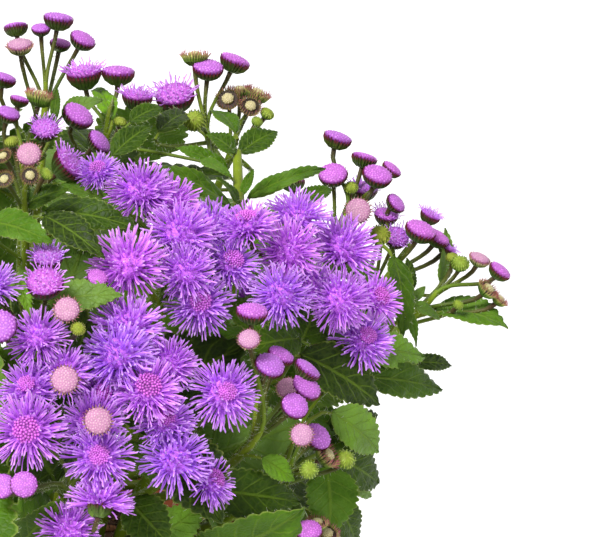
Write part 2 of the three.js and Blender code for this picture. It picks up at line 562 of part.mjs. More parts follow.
// A rule-set leaf tries these turns about its branch and steps along it until it is clear of all else.
function settleRuleLeaves(shoots) {
  const radius = BRANCH_RADIUS;
  const stalkRoom = (root, at) => STALK_ROOM.map((share) => ({ at: mix(root, at, share), radius }));
  const taken = shoots.flatMap((shoot) => shoot.branches.flatMap(({ bunch, curve, roots }) => [
    ...bunch.heads.map(({ at, width, stage }) => ({ at, radius: HEAD_ROOM[stage] * width })),
    ...bunch.heads.flatMap(({ at }, i) => stalkRoom(roots[i], at)),
    ...curve.getPoints(BRANCH_ROOM_STEPS).map((at) => ({ at, radius })),
    ...bunch.leaves.flatMap(leafRoom),
  ]));
  const isClear = (root, { at, radius: room }) => clearsPot(at, room) && taken.every((other) => (
    at.distanceTo(other.at) > room + other.radius || at.distanceTo(root) < LEAF_ROOT_ROOM
  ));
  for (const { bunch, curve } of shoots.flatMap((shoot) => shoot.branches)) {
    const start = bunch.draw() * Math.PI;
    for (let i = 0; i < bunch.leafCount; i += 1) {
      const size = LEAF_LENGTH * between(LEAF_RANGE, bunch.draw());
      const lean = between(LEAF_LEAN_RANGE, bunch.draw());
      const leaf = LEAF_TRIALS.map(([turn, along]) => {
        const root = curve.getPoint(along - LEAF_STEP * i);
        return leafAt(root, bunch.normal, start + turn + i * GOLDEN_TURN, size, lean);
      }).find((trial) => leafRoom(trial).every((room) => (
        isClear(trial.root, room) && isWithinOutline(room.at, room.radius)
        && domeReach(room.at) < (bunch.leafReach ?? Infinity)
      )));
      if (leaf) {
        bunch.leaves.push(leaf);
        taken.push(...leafRoom(leaf));
      }
    }
  }
}

function clearsPot({ x, y, z }, room) {
  return z > POT_HEIGHT + room || Math.hypot(x, y) > POT_RIM_RADIUS + room;
}

function leafAt(root, normal, turn, size, lean) {
  const [east, north] = crossAxes(normal, UP);
  const way = east.clone().multiplyScalar(Math.cos(turn)).addScaledVector(north, Math.sin(turn));
  way.addScaledVector(normal, lean).normalize();
  const foot = root.clone().addScaledVector(way, LEAF_STALK_SHARE * size);
  const tip = foot.clone().addScaledVector(way, size).addScaledVector(UP, -LEAF_DROOP * size);
  const face = mix(normal, UP, LEAF_FACE_LIFT).normalize();
  return { root, foot, tip, width: size * LEAF_WIDTH_SHARE, face, teeth: 2, isGrown: true };
}

// ---------------------------------------------------------------- growing skins
// A closed skin that grows ring by ring, like a shoot: `start` lays a first ring, `extend` joins a ring to a
// further one, `cap` closes a ring, and `takeFacing` opens a side face as the first ring of a new stalk.
class Growth {
  constructor() {
    this.points = [];
    this.faces = [];
  }

  add(points) {
    return points.map((point) => this.points.push(point) - 1);
  }

  start(points) {
    const ring = this.add(points);
    this.cap([...ring].reverse());
    return ring;
  }

  // Rings of unlike counts are joined where their turns fall; a ring of one point is a tip.
  extend(ring, points) {
    const next = this.add(points);
    const n = ring.length;
    const m = next.length > 1 ? next.length : 0;
    const sides = [];
    for (let i = 0, j = 0; i < n || j < m;) {
      if (j >= m || (i < n && (i + 1) * m <= (j + 1) * n)) {
        sides.push([ring[i], ring[(i + 1) % n], next[j % next.length]]);
        i += 1;
      } else {
        sides.push([ring[i % n], next[(j + 1) % m], next[j]]);
        j += 1;
      }
    }
    this.faces.push(...sides);
    return { ring: next, sides };
  }

  cap(ring) {
    for (let i = 1; i + 1 < ring.length; i += 1) {
      this.faces.push([ring[0], ring[i], ring[i + 1]]);
    }
  }

  // Draws a face out to a point.
  bristle(face, reach) {
    const tip = this.points.push(reach(this.middle(face))) - 1;
    this.open(face);
    this.faces.push([face[0], face[1], tip], [face[1], face[2], tip], [face[2], face[0], tip]);
  }

  open(face) {
    this.faces.splice(this.faces.indexOf(face), 1);
    return face;
  }

  middle(face) {
    return face.reduce((sum, i) => sum.add(this.points[i]), new THREE.Vector3()).divideScalar(face.length);
  }

  normal(face) {
    const [a, b, c] = face.map((i) => this.points[i]);
    return b.clone().sub(a).cross(c.clone().sub(a)).normalize();
  }

  // How often the ways from a face to a place, one from near each corner, pass through other faces.
  blocks(face, place) {
    const middle = this.middle(face);
    const hit = new THREE.Vector3();
    return face.reduce((sum, i) => {
      const start = mix(this.points[i], middle, CORNER_INSET);
      const ray = new THREE.Ray(start, place.clone().sub(start).normalize());
      const reach = start.distanceTo(place);
      const isHit = (other) => other !== face
        && ray.intersectTriangle(...other.map((k) => this.points[k]), false, hit) !== null
        && hit.distanceTo(start) < reach;
      return sum + this.faces.filter(isHit).length;
    }, 0);
  }

  // Takes, of the side faces on offer, the one with the clearest way to a place, that looks best towards it
  // and lies near a wanted spot.
  takeFacing(offered, target, near = null) {
    const match = (face) => {
      const middle = this.middle(face);
      const facing = this.normal(face).dot(target.clone().sub(middle).normalize());
      const far = near ? NEARNESS_WEIGHT * middle.distanceTo(near) : 0;
      return facing - far - BLOCK_WEIGHT * this.blocks(face, target);
    };
    const scores = offered.map(match);
    const [best] = offered.splice(scores.indexOf(Math.max(...scores)), 1);
    return this.open(best);
  }

  solid() {
    return new wasm.Manifold(new wasm.Mesh({
      numProp: 3,
      vertProperties: new Float32Array(this.points.flatMap((point) => point.toArray())),
      triVerts: new Uint32Array(this.faces.flat()),
    }));
  }
}

function ringAt(centre, axis, radius, sides, from = RIGHT, phase = 0) {
  const [east, north] = crossAxes(axis, from);
  return Array.from({ length: sides }, (_, i) => {
    const turn = phase + i * Math.PI * 2 / sides;
    return centre.clone().addScaledVector(east, radius * Math.cos(turn))
      .addScaledVector(north, radius * Math.sin(turn));
  });
}

// A skin of its own over a stalk or stem: rings of the given radii along points.
function tube(points, radii, sides) {
  const growth = new Growth();
  let ring = null;
  points.forEach((point, i) => {
    const after = points[Math.min(i + 1, points.length - 1)];
    const way = after.clone().sub(points[Math.max(i - 1, 0)]).normalize();
    const next = ringAt(point, way, radii[i], sides);
    ring = ring ? growth.extend(ring, next).ring : growth.start(next);
  });
  growth.cap(ring);
  return growth.solid();
}

// ---------------------------------------------------------------- pieces of the plant
// Every piece takes `grow`, by which its skin stands out further: zero for the piece, a gap for its
// clearance.

function headBase({ stage, at, axis, width }, grow) {
  const depths = { open: OPEN_DEPTH_SHARE + OPEN_CUP_DEPTH, half: HALF_DEPTH_SHARE };
  return at.clone().addScaledVector(axis, -(depths[stage] ?? 0.5 * BUD_HEIGHT_SHARE) * width - grow);
}

// A head on the end of its stalk: a closed bud with a cup and a domed top, a half-open head with a low tuft
// of florets, or only the cup of an open head.
function growHead(growth, stalkEnd, head, grow) {
  const { stage, axis, width } = head;
  const half = 0.5 * width + grow;
  const base = headBase(head, grow);
  const from = growth.points[stalkEnd[0]].clone().sub(base);
  const level = (share) => base.clone().addScaledVector(axis, share * (width + 2 * grow));
  const sides = head.isGrown ? RULE_TUFT_SIDES : HEAD_SIDES;
  const ring = (share, reach, phase = 0) => ringAt(level(share), axis, reach * half, sides, from, phase);
  const turned = Math.PI / sides;
  if (stage === 'open') {
    const cup = growth.extend(stalkEnd, ring(OPEN_CUP_DEPTH, OPEN_CUP_SHARE)).ring;
    if (head.isGrown) {
      growTuft(growth, cup, head, grow, 0);
    } else {
      growth.cap(cup);
    }
    return;
  }
  if (stage === 'half') {
    const rim = growth.extend(stalkEnd, ring(HALF_RIM.height, HALF_RIM.reach)).ring;
    const outer = growth.extend(rim, ring(HALF_SHOULDER.height, HALF_SHOULDER.reach, turned));
    const inner = growth.extend(outer.ring, [level(HALF_PEAK)]);
    const middle = level(HALF_RIM.height);
    const reach = (height) => (foot) => {
      const way = foot.sub(middle).normalize().addScaledVector(axis, height).normalize();
      return middle.clone().addScaledVector(way, half);
    };
    outer.sides.forEach((face) => growth.bristle(face, reach(HALF_FLORETS.low)));
    inner.sides.forEach((face) => growth.bristle(face, reach(HALF_FLORETS.high)));
    return;
  }
  const plump = stage === 'green' ? GREEN_CUP_SHARE : 1;
  const rim = growth.extend(stalkEnd, ring(CUP_HEIGHT_SHARE * plump, 1)).ring;
  const shoulder = growth.extend(rim, ring(BUD_SHOULDER.height, BUD_SHOULDER.reach, turned)).ring;
  growth.extend(shoulder, [level(BUD_PEAK)]);
}

// A head on a stalk of its own skin, for the clearance round it.
function headPiece(head, root, grow) {
  const growth = new Growth();
  const way = headBase(head, grow).sub(root).normalize();
  const foot = growth.start(ringAt(root, way, STALK_RADIUS + grow, 3));
  const end = growth.extend(foot, ringAt(headBase(head, grow), head.axis, STALK_RADIUS + grow, 3)).ring;
  growHead(growth, end, head, grow);
  return growth.solid();
}

// The florets of an open head, from the rim of its cup: a low dome whose faces are all drawn out to points.
function growTuft(growth, rim, head, grow, lift) {
  const { at, axis } = head;
  const half = Math.min(0.5 * head.width, head.room ?? Infinity) + grow;
  const sides = rim.length;
  const level = (height) => at.clone().addScaledVector(axis, height);
  const foot = -OPEN_DEPTH_SHARE * head.width + lift - grow;
  const from = growth.points[rim[0]].clone().sub(level(foot));
  const reach = (droop) => (face) => {
    const way = face.sub(at).normalize().addScaledVector(axis, droop).normalize();
    return at.clone().addScaledVector(way, half);
  };
  const ring = (height, phase) => ringAt(level(height), axis, TUFT_REACH * half, sides, from, phase);
  const belly = growth.extend(rim, ring(foot + TUFT_BELLY * half, 0));
  const outer = growth.extend(belly.ring, ring(TUFT_SHOULDER * half, Math.PI / sides));
  const inner = growth.extend(outer.ring, [level(TUFT_PEAK * half)]);
  outer.sides.forEach((face) => growth.bristle(face, reach(-TUFT_DROOP)));
  inner.sides.forEach((face) => growth.bristle(face, reach(TUFT_DROOP)));
}

// The florets of an open head as a skin of their own, `lift` above the cup.
function openTuft(head, grow, lift) {
  const growth = new Growth();
  const foot = head.at.clone().addScaledVector(head.axis, -OPEN_DEPTH_SHARE * head.width + lift - grow);
  const rim = growth.start(ringAt(foot, head.axis, 0.5 * OPEN_CUP_SHARE * head.width + grow, TUFT_SIDES));
  growTuft(growth, rim, head, grow, lift);
  return growth.solid();
}

// A leaf on the end of a three-sided ring: its stalk, then a thin arched blade, folded along its midrib, with
// toothed edges that run out to nothing.
function growLeaf(growth, root, leaf, grow) {
  const { foot, tip, width, face, teeth } = leaf;
  const way = tip.clone().sub(foot);
  const length = way.length() + grow;
  way.normalize();
  const [up] = crossAxes(way, face);
  const side = new THREE.Vector3().crossVectors(way, up);
  const thick = 0.5 * LEAF_THICKNESS + grow;
  const spine = (share, rise = 0) => foot.clone().addScaledVector(way, share * length)
    .addScaledVector(up, LEAF_ARCH * length * 4 * share * (1 - share) + rise);
  const edge = (share, reach, sign) => {
    const out = reach * (0.5 * width * Math.sin(Math.PI * share ** LEAF_SKEW)) + grow;
    return spine(share, LEAF_FOLD * out).addScaledVector(side, sign * out);
  };
  const neck = STALK_RADIUS + grow;
  const footRing = [spine(0, thick), spine(0).addScaledVector(side, neck), spine(0, -thick),
    spine(0).addScaledVector(side, -neck)];
  const from = growth.points[root[0]].clone().sub(growth.middle(root));
  const turns = footRing.map((point) => point.clone().sub(foot).dot(from));
  const first = turns.indexOf(Math.max(...turns));
  const order = [0, 1, 2, 3].map((i) => (first + i) % 4);
  const ring = growth.extend(root, order.map((i) => footRing[i])).ring;
  const [top, right, under, left] = [0, 1, 2, 3].map((i) => ring[order.indexOf(i)]);

  const rows = [{ top, under, near: [left, right] }];
  for (let i = 0; i < teeth; i += 1) {
    const share = TEETH_START + TEETH_RUN * i / (teeth - 1);
    const [rowTop, rowUnder] = growth.add([spine(share, thick), spine(share, -thick)]);
    const out = growth.add([-1, 1].map((sign) => edge(share, TOOTH_OUT, sign)));
    const notch = growth.add([-1, 1].map((sign) => edge(share + TOOTH_STEP, TOOTH_NOTCH, sign)));
    rows.push({ top: rowTop, under: rowUnder, out, near: notch });
  }
  const [end] = growth.add([spine(1)]);
  // Both halves are laid as the right one is; the left one's faces are turned over.
  for (const half of [0, 1]) {
    const lay = (a, b, c) => growth.faces.push(half ? [a, b, c] : [a, c, b]);
    rows.forEach((row, i) => {
      const next = rows[i + 1];
      const near = row.near[half];
      if (row.out) {
        lay(row.top, row.out[half], near);
        lay(row.under, near, row.out[half]);
      }
      if (next) {
        lay(row.top, near, next.out[half]);
        lay(row.top, next.out[half], next.top);
        lay(row.under, next.out[half], near);
        lay(row.under, next.under, next.out[half]);
      } else {
        lay(row.top, near, end);
        lay(row.under, end, near);
      }
    });
  }
}

function leafPiece(leaf, grow) {
  const growth = new Growth();
  const way = leaf.foot.clone().sub(leaf.root).normalize();
  growLeaf(growth, growth.start(ringAt(leaf.root, way, STALK_RADIUS + grow, 3)), leaf, grow);
  return growth.solid();
}

// ---------------------------------------------------------------- joining and clearing
function overlap(a, b) {
  return [0, 1, 2].every((k) => a.min[k] < b.max[k] && b.min[k] < a.max[k]);
}

// A piece with its clearance: a copy whose skin stands out by the gap.
function piece(make) {
  const clearance = make(GAP);
  return { solid: make(0), clearance, box: clearance.boundingBox() };
}

// Cuts a piece clear of others and keeps the largest lump that is left.
function cutClear(own, others) {
  const near = others.filter((other) => overlap(own.box, other.box))
    .filter((other) => !own.solid.intersect(other.clearance).isEmpty());
  if (near.length === 0) {
    return own.solid;
  }
  return largestLump(own.solid.subtract(wasm.Manifold.union(near.map((other) => other.clearance))));
}

// Where a finished node still meets an earlier one, cuts it back there by that node moved a gap each way.
function partFrom(solid, earlier) {
  let own = solid;
  for (const other of earlier) {
    for (const spot of own.intersect(other).decompose()) {
      const { min, max } = spot.boundingBox();
      const middle = new THREE.Vector3(...min).add(new THREE.Vector3(...max)).multiplyScalar(0.5);
      const size = new THREE.Vector3(...max).sub(new THREE.Vector3(...min)).addScalar(4 * GAP);
      const room = new THREE.BoxGeometry(...size.toArray());
      room.translate(...middle.toArray());
      const local = other.intersect(solidFrom(room));
      const moved = [RIGHT, UP, FRONT].flatMap((way) => [-GAP, GAP].map((step) => (
        local.translate(way.clone().multiplyScalar(step).toArray())
      )));
      own = own.subtract(wasm.Manifold.union([local, ...moved]));
    }
  }
  return largestLump(largestLump(own).simplify(SLIVER));
}

function largestLump(solid) {
  return solid.decompose().reduce((best, lump) => (best.volume() >= lump.volume() ? best : lump));
}

// A plain ball round a tuft, wide enough that the tips of its florets stay clear of what it cuts.
function tuftBall(head) {
  const ball = new THREE.IcosahedronGeometry(0.5 * head.width + 2 * GAP, 0);
  ball.translate(...head.at.toArray());
  const solid = solidFrom(ball);
  return { solid, clearance: solid, box: solid.boundingBox() };
}

// The pieces of a shoot's stems and heads, each on its own, for the clearance round them.
function shootPieces(shoot) {
  const pieces = [piece((grow) => tube(shoot.stem, STEM_RADII.map((radius) => radius + grow), 5))];
  for (const { bunch, curve, roots } of shoot.branches) {
    const radii = BRANCH_TAPER.map((share) => share * BRANCH_RADIUS);
    pieces.push(piece((grow) => tube(curve.getPoints(2), radii.map((radius) => radius + grow), 4)));
    bunch.heads.forEach((head, i) => pieces.push(piece((grow) => headPiece(head, roots[i], grow))));
  }
  return pieces;
}

// A shoot's stem, branches, stalks and heads as one skin: each branch and stalk grows out of a side face.
function growShoot(shoot) {
  const growth = new Growth();
  const [foot, knee, head] = shoot.stem;
  const lastWay = head.clone().sub(knee).normalize();
  const offered = [];
  let ring = growth.start(ringAt(foot, UP, STEM_RADII[0], 3));
  ring = growth.extend(ring, ringAt(knee, UP, STEM_RADII[1], 3)).ring;
  const steps = shoot.branches.filter(({ bunch }) => !bunch.origin).length;
  for (let i = 1; i <= steps; i += 1) {
    const share = THREE.MathUtils.lerp(STEM_FORKS_FROM, 1, i / steps);
    const grown = growth.extend(ring, ringAt(mix(knee, head, share), lastWay, STEM_RADII[2], 3));
    ring = grown.ring;
    if (i > 1) {
      offered.push(...grown.sides);
    }
  }
  growth.cap(ring);
  offered.push(growth.faces[growth.faces.length - 1]);
  let sideFaces = null;
  for (const { bunch, curve, roots } of shoot.branches) {
    const root = bunch.origin
      ? growth.takeFacing(sideFaces, curve.getPoint(0.5), curve.getPoint(0))
      : growth.takeFacing(offered, curve.getPoint(0.5));
    sideFaces = growBranch(growth, root, bunch, curve, roots);
  }
  return growth.solid();
}

function growBranch(growth, root, bunch, curve, roots) {
  const offered = [];
  let ring = root;
  const ringTo = (centre, way, radius) => {
    const from = growth.points[ring[0]].clone().sub(growth.middle(ring));
    const grown = growth.extend(ring, ringAt(centre, way, radius, 3, from));
    ring = grown.ring;
    return grown.sides;
  };
  for (const share of BRANCH_RINGS) {
    ringTo(curve.getPoint(share), curve.getTangent(share), BRANCH_RADIUS);
  }
  const steps = Math.max(2, Math.ceil((bunch.heads.length + bunch.leaves.length) / 2));
  for (let i = 1; i <= steps; i += 1) {
    const share = STALKS_END - STALKS_STRETCH * (1 - i / steps);
    offered.push(...ringTo(curve.getPoint(share), curve.getTangent(share), BRANCH_TAPER[2] * BRANCH_RADIUS));
  }
  growth.cap(ring);
  offered.push(growth.faces[growth.faces.length - 1]);
  bunch.heads.forEach((head, i) => {
    const base = headBase(head, 0);
    ring = growth.takeFacing(offered, base, roots[i]);
    ringTo(base, head.axis, STALK_RADIUS);
    growHead(growth, ring, head, 0);
  });
  for (const leaf of bunch.leaves.filter((own) => own.isGrown)) {
    growLeaf(growth, growth.takeFacing(offered, leaf.foot, leaf.root), leaf, 0);
  }
  return offered;
}

// Open heads that hold together, three or more, are nodes of their own; the others are fused to their cups.
function buildBunches(heads, cores) {
  const tufts = heads.map((head) => piece((grow) => openTuft(head, grow, GAP)));
  const lumps = wasm.Manifold.union(tufts.map((tuft) => cutClear(tuft, cores))).decompose();
  const least = BUNCH_LEAST * Math.max(...tufts.map((tuft) => tuft.solid.volume()));
  const bunchLumps = lumps.filter((lump) => lump.volume() > least);
  const held = bunchLumps.map((lump) => lump.boundingBox());
  const inside = ({ at }, box) => at.toArray().every((value, k) => box.min[k] < value && value < box.max[k]);
  return { bunchLumps, single: new Set(heads.filter((head) => !held.some((box) => inside(head, box)))) };
}

function buildPlant(shoots) {
  const openHeads = shoots.flatMap((shoot) => shoot.branches.flatMap(({ bunch }) => bunch.heads))
    .filter((head) => head.stage === 'open');
  const handSet = openHeads.filter((head) => !head.isGrown);
  const pieces = new Map(shoots.map((shoot) => [shoot, shootPieces(shoot)]));
  const { bunchLumps, single } = buildBunches(handSet, [...pieces.values()].flat());
  const balls = openHeads.map(tuftBall);
  const leaves = new Map(shoots.map((shoot) => [shoot, shoot.branches.flatMap(({ bunch }) => bunch.leaves)
    .map((leaf) => ({ ...piece((grow) => leafPiece(leaf, grow)), isGrown: leaf.isGrown }))]));
  const solids = [];
  shoots.forEach((shoot, i) => {
    const before = shoots.slice(0, i);
    const earlier = before.flatMap((other) => [...pieces.get(other), ...leaves.get(other)]);
    const others = shoots.filter((other) => other !== shoot).flatMap((other) => pieces.get(other));
    const grown = growShoot(shoot);
    const parts = [
      cutClear({ solid: grown, box: grown.boundingBox() }, earlier),
      ...leaves.get(shoot).filter((leaf) => !leaf.isGrown)
        .map((leaf) => cutClear(leaf, [...others, ...balls, ...earlier])),
      ...shoot.branches.flatMap(({ bunch }) => bunch.heads).filter((head) => single.has(head))
        .map((head) => cutClear(piece((grow) => openTuft(head, grow, -GAP)), others)),
    ];
    const whole = largestLump(wasm.Manifold.union(parts)).simplify(SLIVER);
    solids.push([`shoot_${shoot.name}`, partFrom(whole, solids.map(([, solid]) => solid)), LEAF_GREEN]);
  });
  bunchLumps.forEach((lump, i) => {
    const own = partFrom(lump.simplify(SLIVER), solids.map(([, solid]) => solid));
    solids.push([`open_heads_${i + 1}`, own, FLORET_VIOLET]);
  });
  return solids;
}

// ---------------------------------------------------------------- pot and soil
function turned(profile, sides) {
  const points = profile.map(([radius, height]) => new THREE.Vector2(radius, height));
  const geometry = new THREE.LatheGeometry(points, sides);
  geometry.rotateX(Math.PI / 2);
  return solidFrom(geometry);
}

function solidFrom(geometry) {
  geometry.deleteAttribute('normal');
  geometry.deleteAttribute('uv');
  const merged = BufferGeometryUtils.mergeVertices(geometry, 1e-4);
  return new wasm.Manifold(new wasm.Mesh({
    numProp: 3,
    vertProperties: merged.attributes.position.array,
    triVerts: merged.index.array,
  }));
}

function rod(radius, low, high, sides, x, y) {
  const geometry = new THREE.CylinderGeometry(radius, radius, high - low, sides);
  geometry.rotateX(Math.PI / 2);
  geometry.translate(x, y, 0.5 * (low + high));
  return solidFrom(geometry);
}

function potRadius(height) {
  return POT_FOOT_RADIUS + (POT_RIM_RADIUS - RIM_BAND_STEP - POT_FOOT_RADIUS) * height / POT_HEIGHT;
}

function buildPot() {
  const band = POT_HEIGHT - RIM_BAND_HEIGHT;
  const shell = turned([
    [0, 0], [POT_FOOT_RADIUS, 0], [potRadius(band), band], [POT_RIM_RADIUS, band + RIM_BAND_SLOPE],
    [POT_RIM_RADIUS, POT_HEIGHT], [potRadius(POT_HEIGHT) - POT_WALL, POT_HEIGHT],
    [potRadius(POT_FLOOR) - POT_WALL, POT_FLOOR], [0, POT_FLOOR],
  ], POT_SIDES);
  const drains = Array.from({ length: DRAIN_HOLES }, (_, i) => {
    const turn = i * 2 * Math.PI / DRAIN_HOLES;
    const [x, y] = [DRAIN_RING * Math.cos(turn), DRAIN_RING * Math.sin(turn)];
    return rod(DRAIN_RADIUS, -1, POT_FLOOR + 1, DRAIN_SIDES, x, y);
  });
  return shell.subtract(wasm.Manifold.union(drains));
}

function buildSoil(shoots) {
  const inner = (height) => potRadius(height) - POT_WALL - GAP;
  const bulk = turned([
    [0, POT_FLOOR + GAP], [inner(POT_FLOOR) - GAP, POT_FLOOR + GAP], [inner(SOIL_EDGE), SOIL_EDGE],
    [SOIL_SHOULDER.reach * POT_RIM_RADIUS, SOIL_LEVEL + SOIL_SHOULDER.rise * SOIL_CROWN],
    [0, SOIL_LEVEL + SOIL_CROWN],
  ], POT_SIDES);
  const holes = shoots.map(({ stem: [foot] }) => {
    const radius = SHOOT_RADIUS + 2 * GAP;
    return rod(radius, foot.z - GAP, SOIL_LEVEL + 2 * SOIL_CROWN, SOIL_HOLE_SIDES, foot.x, foot.y);
  });
  return bulk.subtract(wasm.Manifold.union(holes));
}

// ---------------------------------------------------------------- materials and the group
const LEAF_GREEN = { color: 0x4f7d1e, roughness: 0.55, metalness: 0 };
const FLORET_VIOLET = { color: 0xa868e8, roughness: 0.7, metalness: 0 };
const POT_CLAY = { color: 0xb5623c, roughness: 0.75, metalness: 0 };
const SOIL_BROWN = { color: 0x3a2a1e, roughness: 0.95, metalness: 0 };

// Moves a vertex that falls on the place of another one a little towards its neighbours, so that no two skins
// of a node meet in a point.
function partTwins(vertProperties, triVerts) {
  const places = new Map();
  for (let i = 0; i < vertProperties.length / 3; i += 1) {
    const at = vertProperties.subarray(3 * i, 3 * i + 3);
    const place = Array.from(at, (value) => Math.round(value / TWIN_REACH)).join(' ');
    if (places.has(place)) {
      const face = triVerts.findIndex((vertex) => vertex === i);
      const corners = [0, 1, 2].map((k) => triVerts[3 * Math.floor(face / 3) + k]);
      const total = (k) => corners.reduce((sum, corner) => sum + vertProperties[3 * corner + k], 0);
      const middle = [0, 1, 2].map((k) => total(k) / 3);
      const away = Math.hypot(...middle.map((value, k) => value - at[k]));
      middle.forEach((value, k) => {
        at[k] += (value - at[k]) * Math.min(0.5, TWIN_SHIFT / away);
      });
    }
    places.set(place, i);
  }
}

function meshOf(name, solid, finish) {
  const { vertProperties, triVerts } = solid.getMesh();
  partTwins(vertProperties, triVerts);
  const geometry = new THREE.BufferGeometry();
  geometry.setAttribute('position', new THREE.BufferAttribute(vertProperties, 3));
  geometry.setIndex(new THREE.BufferAttribute(triVerts, 1));
  const mesh = new THREE.Mesh(geometry, new THREE.MeshStandardMaterial(finish));
  mesh.name = name;
  return mesh;
}

const bunches = [...handSetBunches(), ...ruleSetBunches()];
const shoots = planShoots(bunches);
addFrontLeaves(shoots);
settleRuleLeaves(shoots);

const group = new THREE.Group();
group.add(meshOf('pot', buildPot(), POT_CLAY));
group.add(meshOf('soil', buildSoil(shoots), SOIL_BROWN));
for (const [name, solid, finish] of buildPlant(shoots)) {
  group.add(meshOf(name, solid, finish));
}

export default group;
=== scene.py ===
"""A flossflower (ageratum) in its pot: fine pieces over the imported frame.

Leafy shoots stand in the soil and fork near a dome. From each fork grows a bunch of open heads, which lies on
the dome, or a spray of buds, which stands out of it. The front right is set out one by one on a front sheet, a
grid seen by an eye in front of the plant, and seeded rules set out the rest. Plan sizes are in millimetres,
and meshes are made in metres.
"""

import logging
import math
from abc import ABC, abstractmethod
from collections.abc import Callable, Iterable, Sequence
from dataclasses import dataclass, field, replace
from enum import Enum
from typing import Final

import bmesh
import bpy
import numpy as np
from mathutils import Matrix, Vector

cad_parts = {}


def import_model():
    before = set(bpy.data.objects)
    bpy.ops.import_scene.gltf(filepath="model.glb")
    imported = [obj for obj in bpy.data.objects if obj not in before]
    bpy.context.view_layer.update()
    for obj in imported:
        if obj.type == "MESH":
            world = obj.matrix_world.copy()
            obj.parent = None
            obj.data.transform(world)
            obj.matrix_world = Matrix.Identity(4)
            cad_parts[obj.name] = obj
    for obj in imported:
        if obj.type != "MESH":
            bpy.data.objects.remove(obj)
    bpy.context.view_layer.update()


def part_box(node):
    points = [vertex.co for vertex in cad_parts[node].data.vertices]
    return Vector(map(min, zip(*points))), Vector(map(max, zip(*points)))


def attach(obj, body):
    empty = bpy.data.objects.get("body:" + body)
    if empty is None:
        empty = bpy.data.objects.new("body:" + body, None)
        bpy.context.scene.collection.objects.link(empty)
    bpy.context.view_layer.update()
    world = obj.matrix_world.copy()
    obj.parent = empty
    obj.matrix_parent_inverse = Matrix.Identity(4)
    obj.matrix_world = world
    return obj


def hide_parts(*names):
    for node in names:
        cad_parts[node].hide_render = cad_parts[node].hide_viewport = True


LOG = logging.getLogger("ageratum")
Array = np.ndarray
Pair = tuple[float, float]
Numbers = tuple[float, ...]
Profile = Sequence[Pair]
Colour = tuple[float, float, float, float]
Stops = tuple[tuple[float, Colour], ...]
Socket = bpy.types.NodeSocket

# ---------------------------------------------------------------- driving dimensions, in millimetres
MM: Final = 0.001
POT_HEIGHT: Final = 106.0
POT_RIM_RADIUS: Final = 62.0
POT_FOOT_RADIUS: Final = 45.0
POT_WALL: Final = 2.2
POT_FLOOR: Final = 3.0
RIM_BAND_HEIGHT: Final = 17.0
RIM_BAND_STEP: Final = 2.4
DRAIN_RADIUS: Final = 4.5
DRAIN_RING: Final = 27.0
DRAIN_HOLES: Final = 4
SOIL_LEVEL: Final = 96.0
SOIL_CROWN: Final = 3.0
SHOOT_DEPTH: Final = 20.0
SHOOT_RADIUS: Final = 1.7
BRANCH_RADIUS: Final = 1.0
STALK_RADIUS: Final = 0.42
STALKS_END: Final = 0.985
STALKS_STRETCH: Final = 0.3
LEAF_SPOTS: Final = (0.3, 0.4, 0.5, 0.6, 0.7, 0.8, 0.9)
SHOOT_RING_SHARE: Final = 0.24
SHOOT_SPREAD_SHARE: Final = 0.42
SHOOT_HEIGHT_SHARE: Final = 0.5
BEND_OUT_SHARE: Final = 0.75
BEND_UP_SHARE: Final = 0.4
SIDE_FORK_SHARE: Final = 0.85
DOME_RADIUS: Final = 86.0
DOME_RISE: Final = 60.0
DOME_CENTRE: Final = 140.0
LEAF_FOLD: Final = 0.2
LEAF_ARCH: Final = 0.07
LEAF_SKEW: Final = 0.72
FRONT_LEAF_UP: Final = 0.3
FRONT_LEAF_TOWARD: Final = 0.9

GRID: Final = 0.2
SHEET_CENTRE: Final = (300.0, 268.5)
SHEET_FOOT: Final = 545.0
SHEET_LEFT: Final = -25.0
SHEET_TURNED_AWAY: Final = -0.12
EYE_LIFT: Final = math.radians(18)
EYE_DISTANCE: Final = 1100.0
AIM: Final = np.array((60.0, 0.0, 163.6))
RIGHT: Final = np.array((1.0, 0.0, 0.0))
UP: Final = np.array((0.0, 0.0, 1.0))
LIFT: Final = np.array((0.0, math.sin(EYE_LIFT), math.cos(EYE_LIFT)))
TOWARD: Final = np.array((0.0, -math.cos(EYE_LIFT), math.sin(EYE_LIFT)))
EYE: Final = AIM + EYE_DISTANCE * TOWARD
